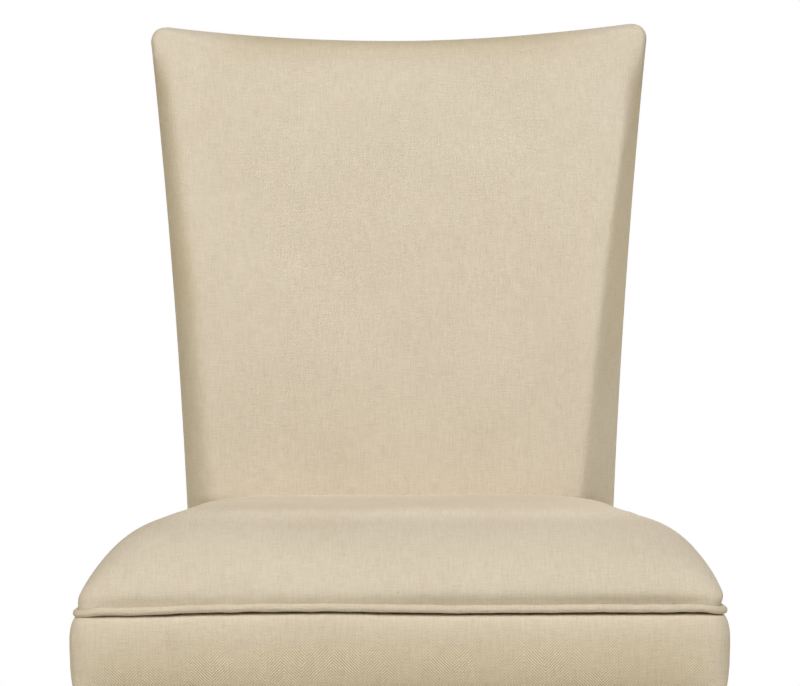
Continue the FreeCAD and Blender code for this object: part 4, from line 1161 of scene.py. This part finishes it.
def make_staples():
    nothing_selected()
    bpy.ops.mesh.primitive_cube_add(size=1.0)
    staple = bpy.context.object
    staple.scale = STAPLE_SIZE
    bpy.ops.object.transform_apply(location=False, rotation=False, scale=True)
    bpy.ops.object.mode_set(mode="EDIT")
    for side in (-1, 1):
        bpy.ops.mesh.select_all(action="SELECT")
        bpy.ops.mesh.bisect(plane_co=(side * STAPLE_LEG_AT, 0, 0), plane_no=(1, 0, 0))
    bpy.ops.mesh.select_mode(type="FACE")
    bpy.ops.mesh.select_all(action="DESELECT")
    bpy.ops.object.mode_set(mode="OBJECT")
    for face in staple.data.polygons:
        face.select = face.normal.z > 0.9 and abs(face.center.x) > STAPLE_LEG_AT
    bpy.ops.object.mode_set(mode="EDIT")
    bpy.ops.mesh.extrude_region_move(TRANSFORM_OT_translate={"value": (0, 0, STAPLE_LEG)})
    bpy.ops.object.mode_set(mode="OBJECT")
    finish_with(staple, "BEVEL", width=STAPLE_BEVEL, segments=2)
    piece = copied_along(staple, "dust_cloth_staples", staple_places())
    smooth(piece, 45)
    piece.data.materials.append(STEEL)
    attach(piece, "root")


def stitch_places():
    """Slip stitches down both sides and along the crest of the outside back, each across the seam."""
    places = []
    rise = BACK_TOP - BACK_CORNER - STITCHES_FROM
    count = round(rise / STITCH_PITCH)
    for number in range(count + 1):
        z = mix(STITCHES_FROM, BACK_TOP - BACK_CORNER, number / count)
        half = half_back(z) - STITCH_IN
        for side in (-1, 1):
            places.append(((side * half, back_rear(z) - STITCH_SUNK, z), (0.0, side * SIDE_LEAN, 0.0)))
    count = round(BACK_HALF_HIGH * 2 * CREST_STITCHED / STITCH_PITCH)
    for number in range(count + 1):
        share = mix(-CREST_STITCHED, CREST_STITCHED, number / count)
        z = crest_height(share) - STITCH_IN
        places.append(((share * BACK_HALF_HIGH, back_rear(z) - STITCH_SUNK, z), (0.0, CREST_LEAN, 0.0)))
    return places


def make_stitches():
    nothing_selected()
    bpy.ops.mesh.primitive_uv_sphere_add(segments=8, ring_count=6, radius=STITCH_RADIUS)
    stitch = bpy.context.object
    stitch.scale = (1.0, 1.0, STITCH_STRETCH)
    bpy.ops.object.transform_apply(location=False, rotation=False, scale=True)
    piece = copied_along(stitch, "outside_back_stitches", stitch_places())
    smooth(piece, 80)
    piece.data.materials.append(THREAD)
    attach(piece, "root")


make_seat()
make_back()
make_border()
make_welt()
make_outside_back()
make_dust_cloth()
make_staples()
make_stitches()


# Setting: pale floor, soft light and the camera
FLOOR_SIZE = 24.0
FLOOR_COLOUR = (0.80, 0.80, 0.79, 1)
# Distances from the chair between which the floor fades to white
FLOOR_FADES = (0.6, 1.7)
AMBIENT_COLOUR = (1.0, 0.90, 0.72, 1)
AMBIENT_STRENGTH = 0.04
CHAIR_MIDDLE = (0.0, 0.0, 0.65)
WARM = (1.0, 0.85, 0.50)
SENSOR = 36.0
FOCAL_PIXELS = 2661.0
FRAME_PIXELS = 800.0
CAMERA_PLACE = (0.00565, -2.40333, 0.73192)
CAMERA_TURN = (math.pi / 2 - 0.035827, 0.004092, 0.001957)


def seen_directly(tree):
    """1 for what the camera sees, also in a mirror or through glass; 0 for light that falls on things."""
    ray = add(tree, "ShaderNodeLightPath")
    seen = sums(tree, "MAXIMUM", ray.outputs["Is Camera Ray"], ray.outputs["Is Glossy Ray"])
    return sums(tree, "MAXIMUM", seen, ray.outputs["Is Transmission Ray"])


def blended(tree, part, first, second, output):
    """Show the first of two shaders, and the second one by its part."""
    choose = add(tree, "ShaderNodeMixShader")
    for socket, source in zip(choose.inputs, (part, first.outputs[0], second.outputs[0])):
        feed(socket, source)
    fill(output, Surface=choose.outputs[0])


def pale_floor():
    """Pale floor that keeps the shadow near the chair and fades to white further out."""
    nothing_selected()
    bpy.ops.mesh.primitive_plane_add(size=FLOOR_SIZE)
    floor = bpy.context.object
    floor.name = "floor"
    made, tree, shader = new_material("pale_floor", 0.9, Base_Color=FLOOR_COLOUR)
    place = place_on(tree)
    away = add(tree, "ShaderNodeVectorMath", operation="LENGTH")
    feed(away.inputs[0], place)
    fade = add(tree, "ShaderNodeMapRange", interpolation_type="SMOOTHSTEP")
    fill(fade, Value=away.outputs["Value"], From_Min=FLOOR_FADES[0], From_Max=FLOOR_FADES[1])
    white = add(tree, "ShaderNodeEmission")
    fill(white, Strength=1.0)
    part = sums(tree, "MULTIPLY", seen_directly(tree), fade.outputs["Result"])
    blended(tree, part, shader, white, tree.nodes["Material Output"])
    floor.data.materials.append(made)


def studio_world():
    world = bpy.data.worlds.new("studio")
    bpy.context.scene.world = world
    world.use_nodes = True
    tree = world.node_tree
    tree.nodes.clear()
    output = add(tree, "ShaderNodeOutputWorld")
    white = add(tree, "ShaderNodeBackground")
    fill(white, Color=(1, 1, 1, 1), Strength=1.0)
    ambient = add(tree, "ShaderNodeBackground")
    fill(ambient, Color=AMBIENT_COLOUR, Strength=AMBIENT_STRENGTH)
    blended(tree, seen_directly(tree), ambient, white, output)


def softbox(name, place, aim, width, height, power, colour):
    lamp = bpy.data.lights.new(name, "AREA")
    lamp.shape = "RECTANGLE"
    lamp.size = width
    lamp.size_y = height
    lamp.energy = power
    lamp.color = colour
    made = bpy.data.objects.new(name, lamp)
    bpy.context.scene.collection.objects.link(made)
    made.location = place
    made.rotation_euler = (Vector(aim) - Vector(place)).to_track_quat("-Z", "Y").to_euler()


def view_camera():
    lens = bpy.data.cameras.new("camera")
    lens.sensor_fit = "HORIZONTAL"
    lens.sensor_width = SENSOR
    lens.lens = FOCAL_PIXELS * SENSOR / FRAME_PIXELS
    made = bpy.data.objects.new("camera", lens)
    bpy.context.scene.collection.objects.link(made)
    made.location = CAMERA_PLACE
    made.rotation_euler = CAMERA_TURN
    bpy.context.scene.camera = made


pale_floor()
studio_world()
softbox("key_softbox", (0.3, -5.476, 8.198), CHAIR_MIDDLE, 4.5, 4.5, 713, (0.98, 0.98, 1.0))
softbox("left_softbox", (-4.2, -2.6, 2.6), CHAIR_MIDDLE, 2.0, 2.0, 64, WARM)
softbox("right_softbox", (4.2, -2.6, 2.6), CHAIR_MIDDLE, 2.0, 2.0, 44, WARM)
softbox("rear_softbox", (1.2, 4.6, 2.0), (0.0, 0.1, 0.6), 2.4, 2.0, 90, (1.0, 0.94, 0.84))
view_camera()
bpy.context.scene.view_settings.view_transform = "Standard"
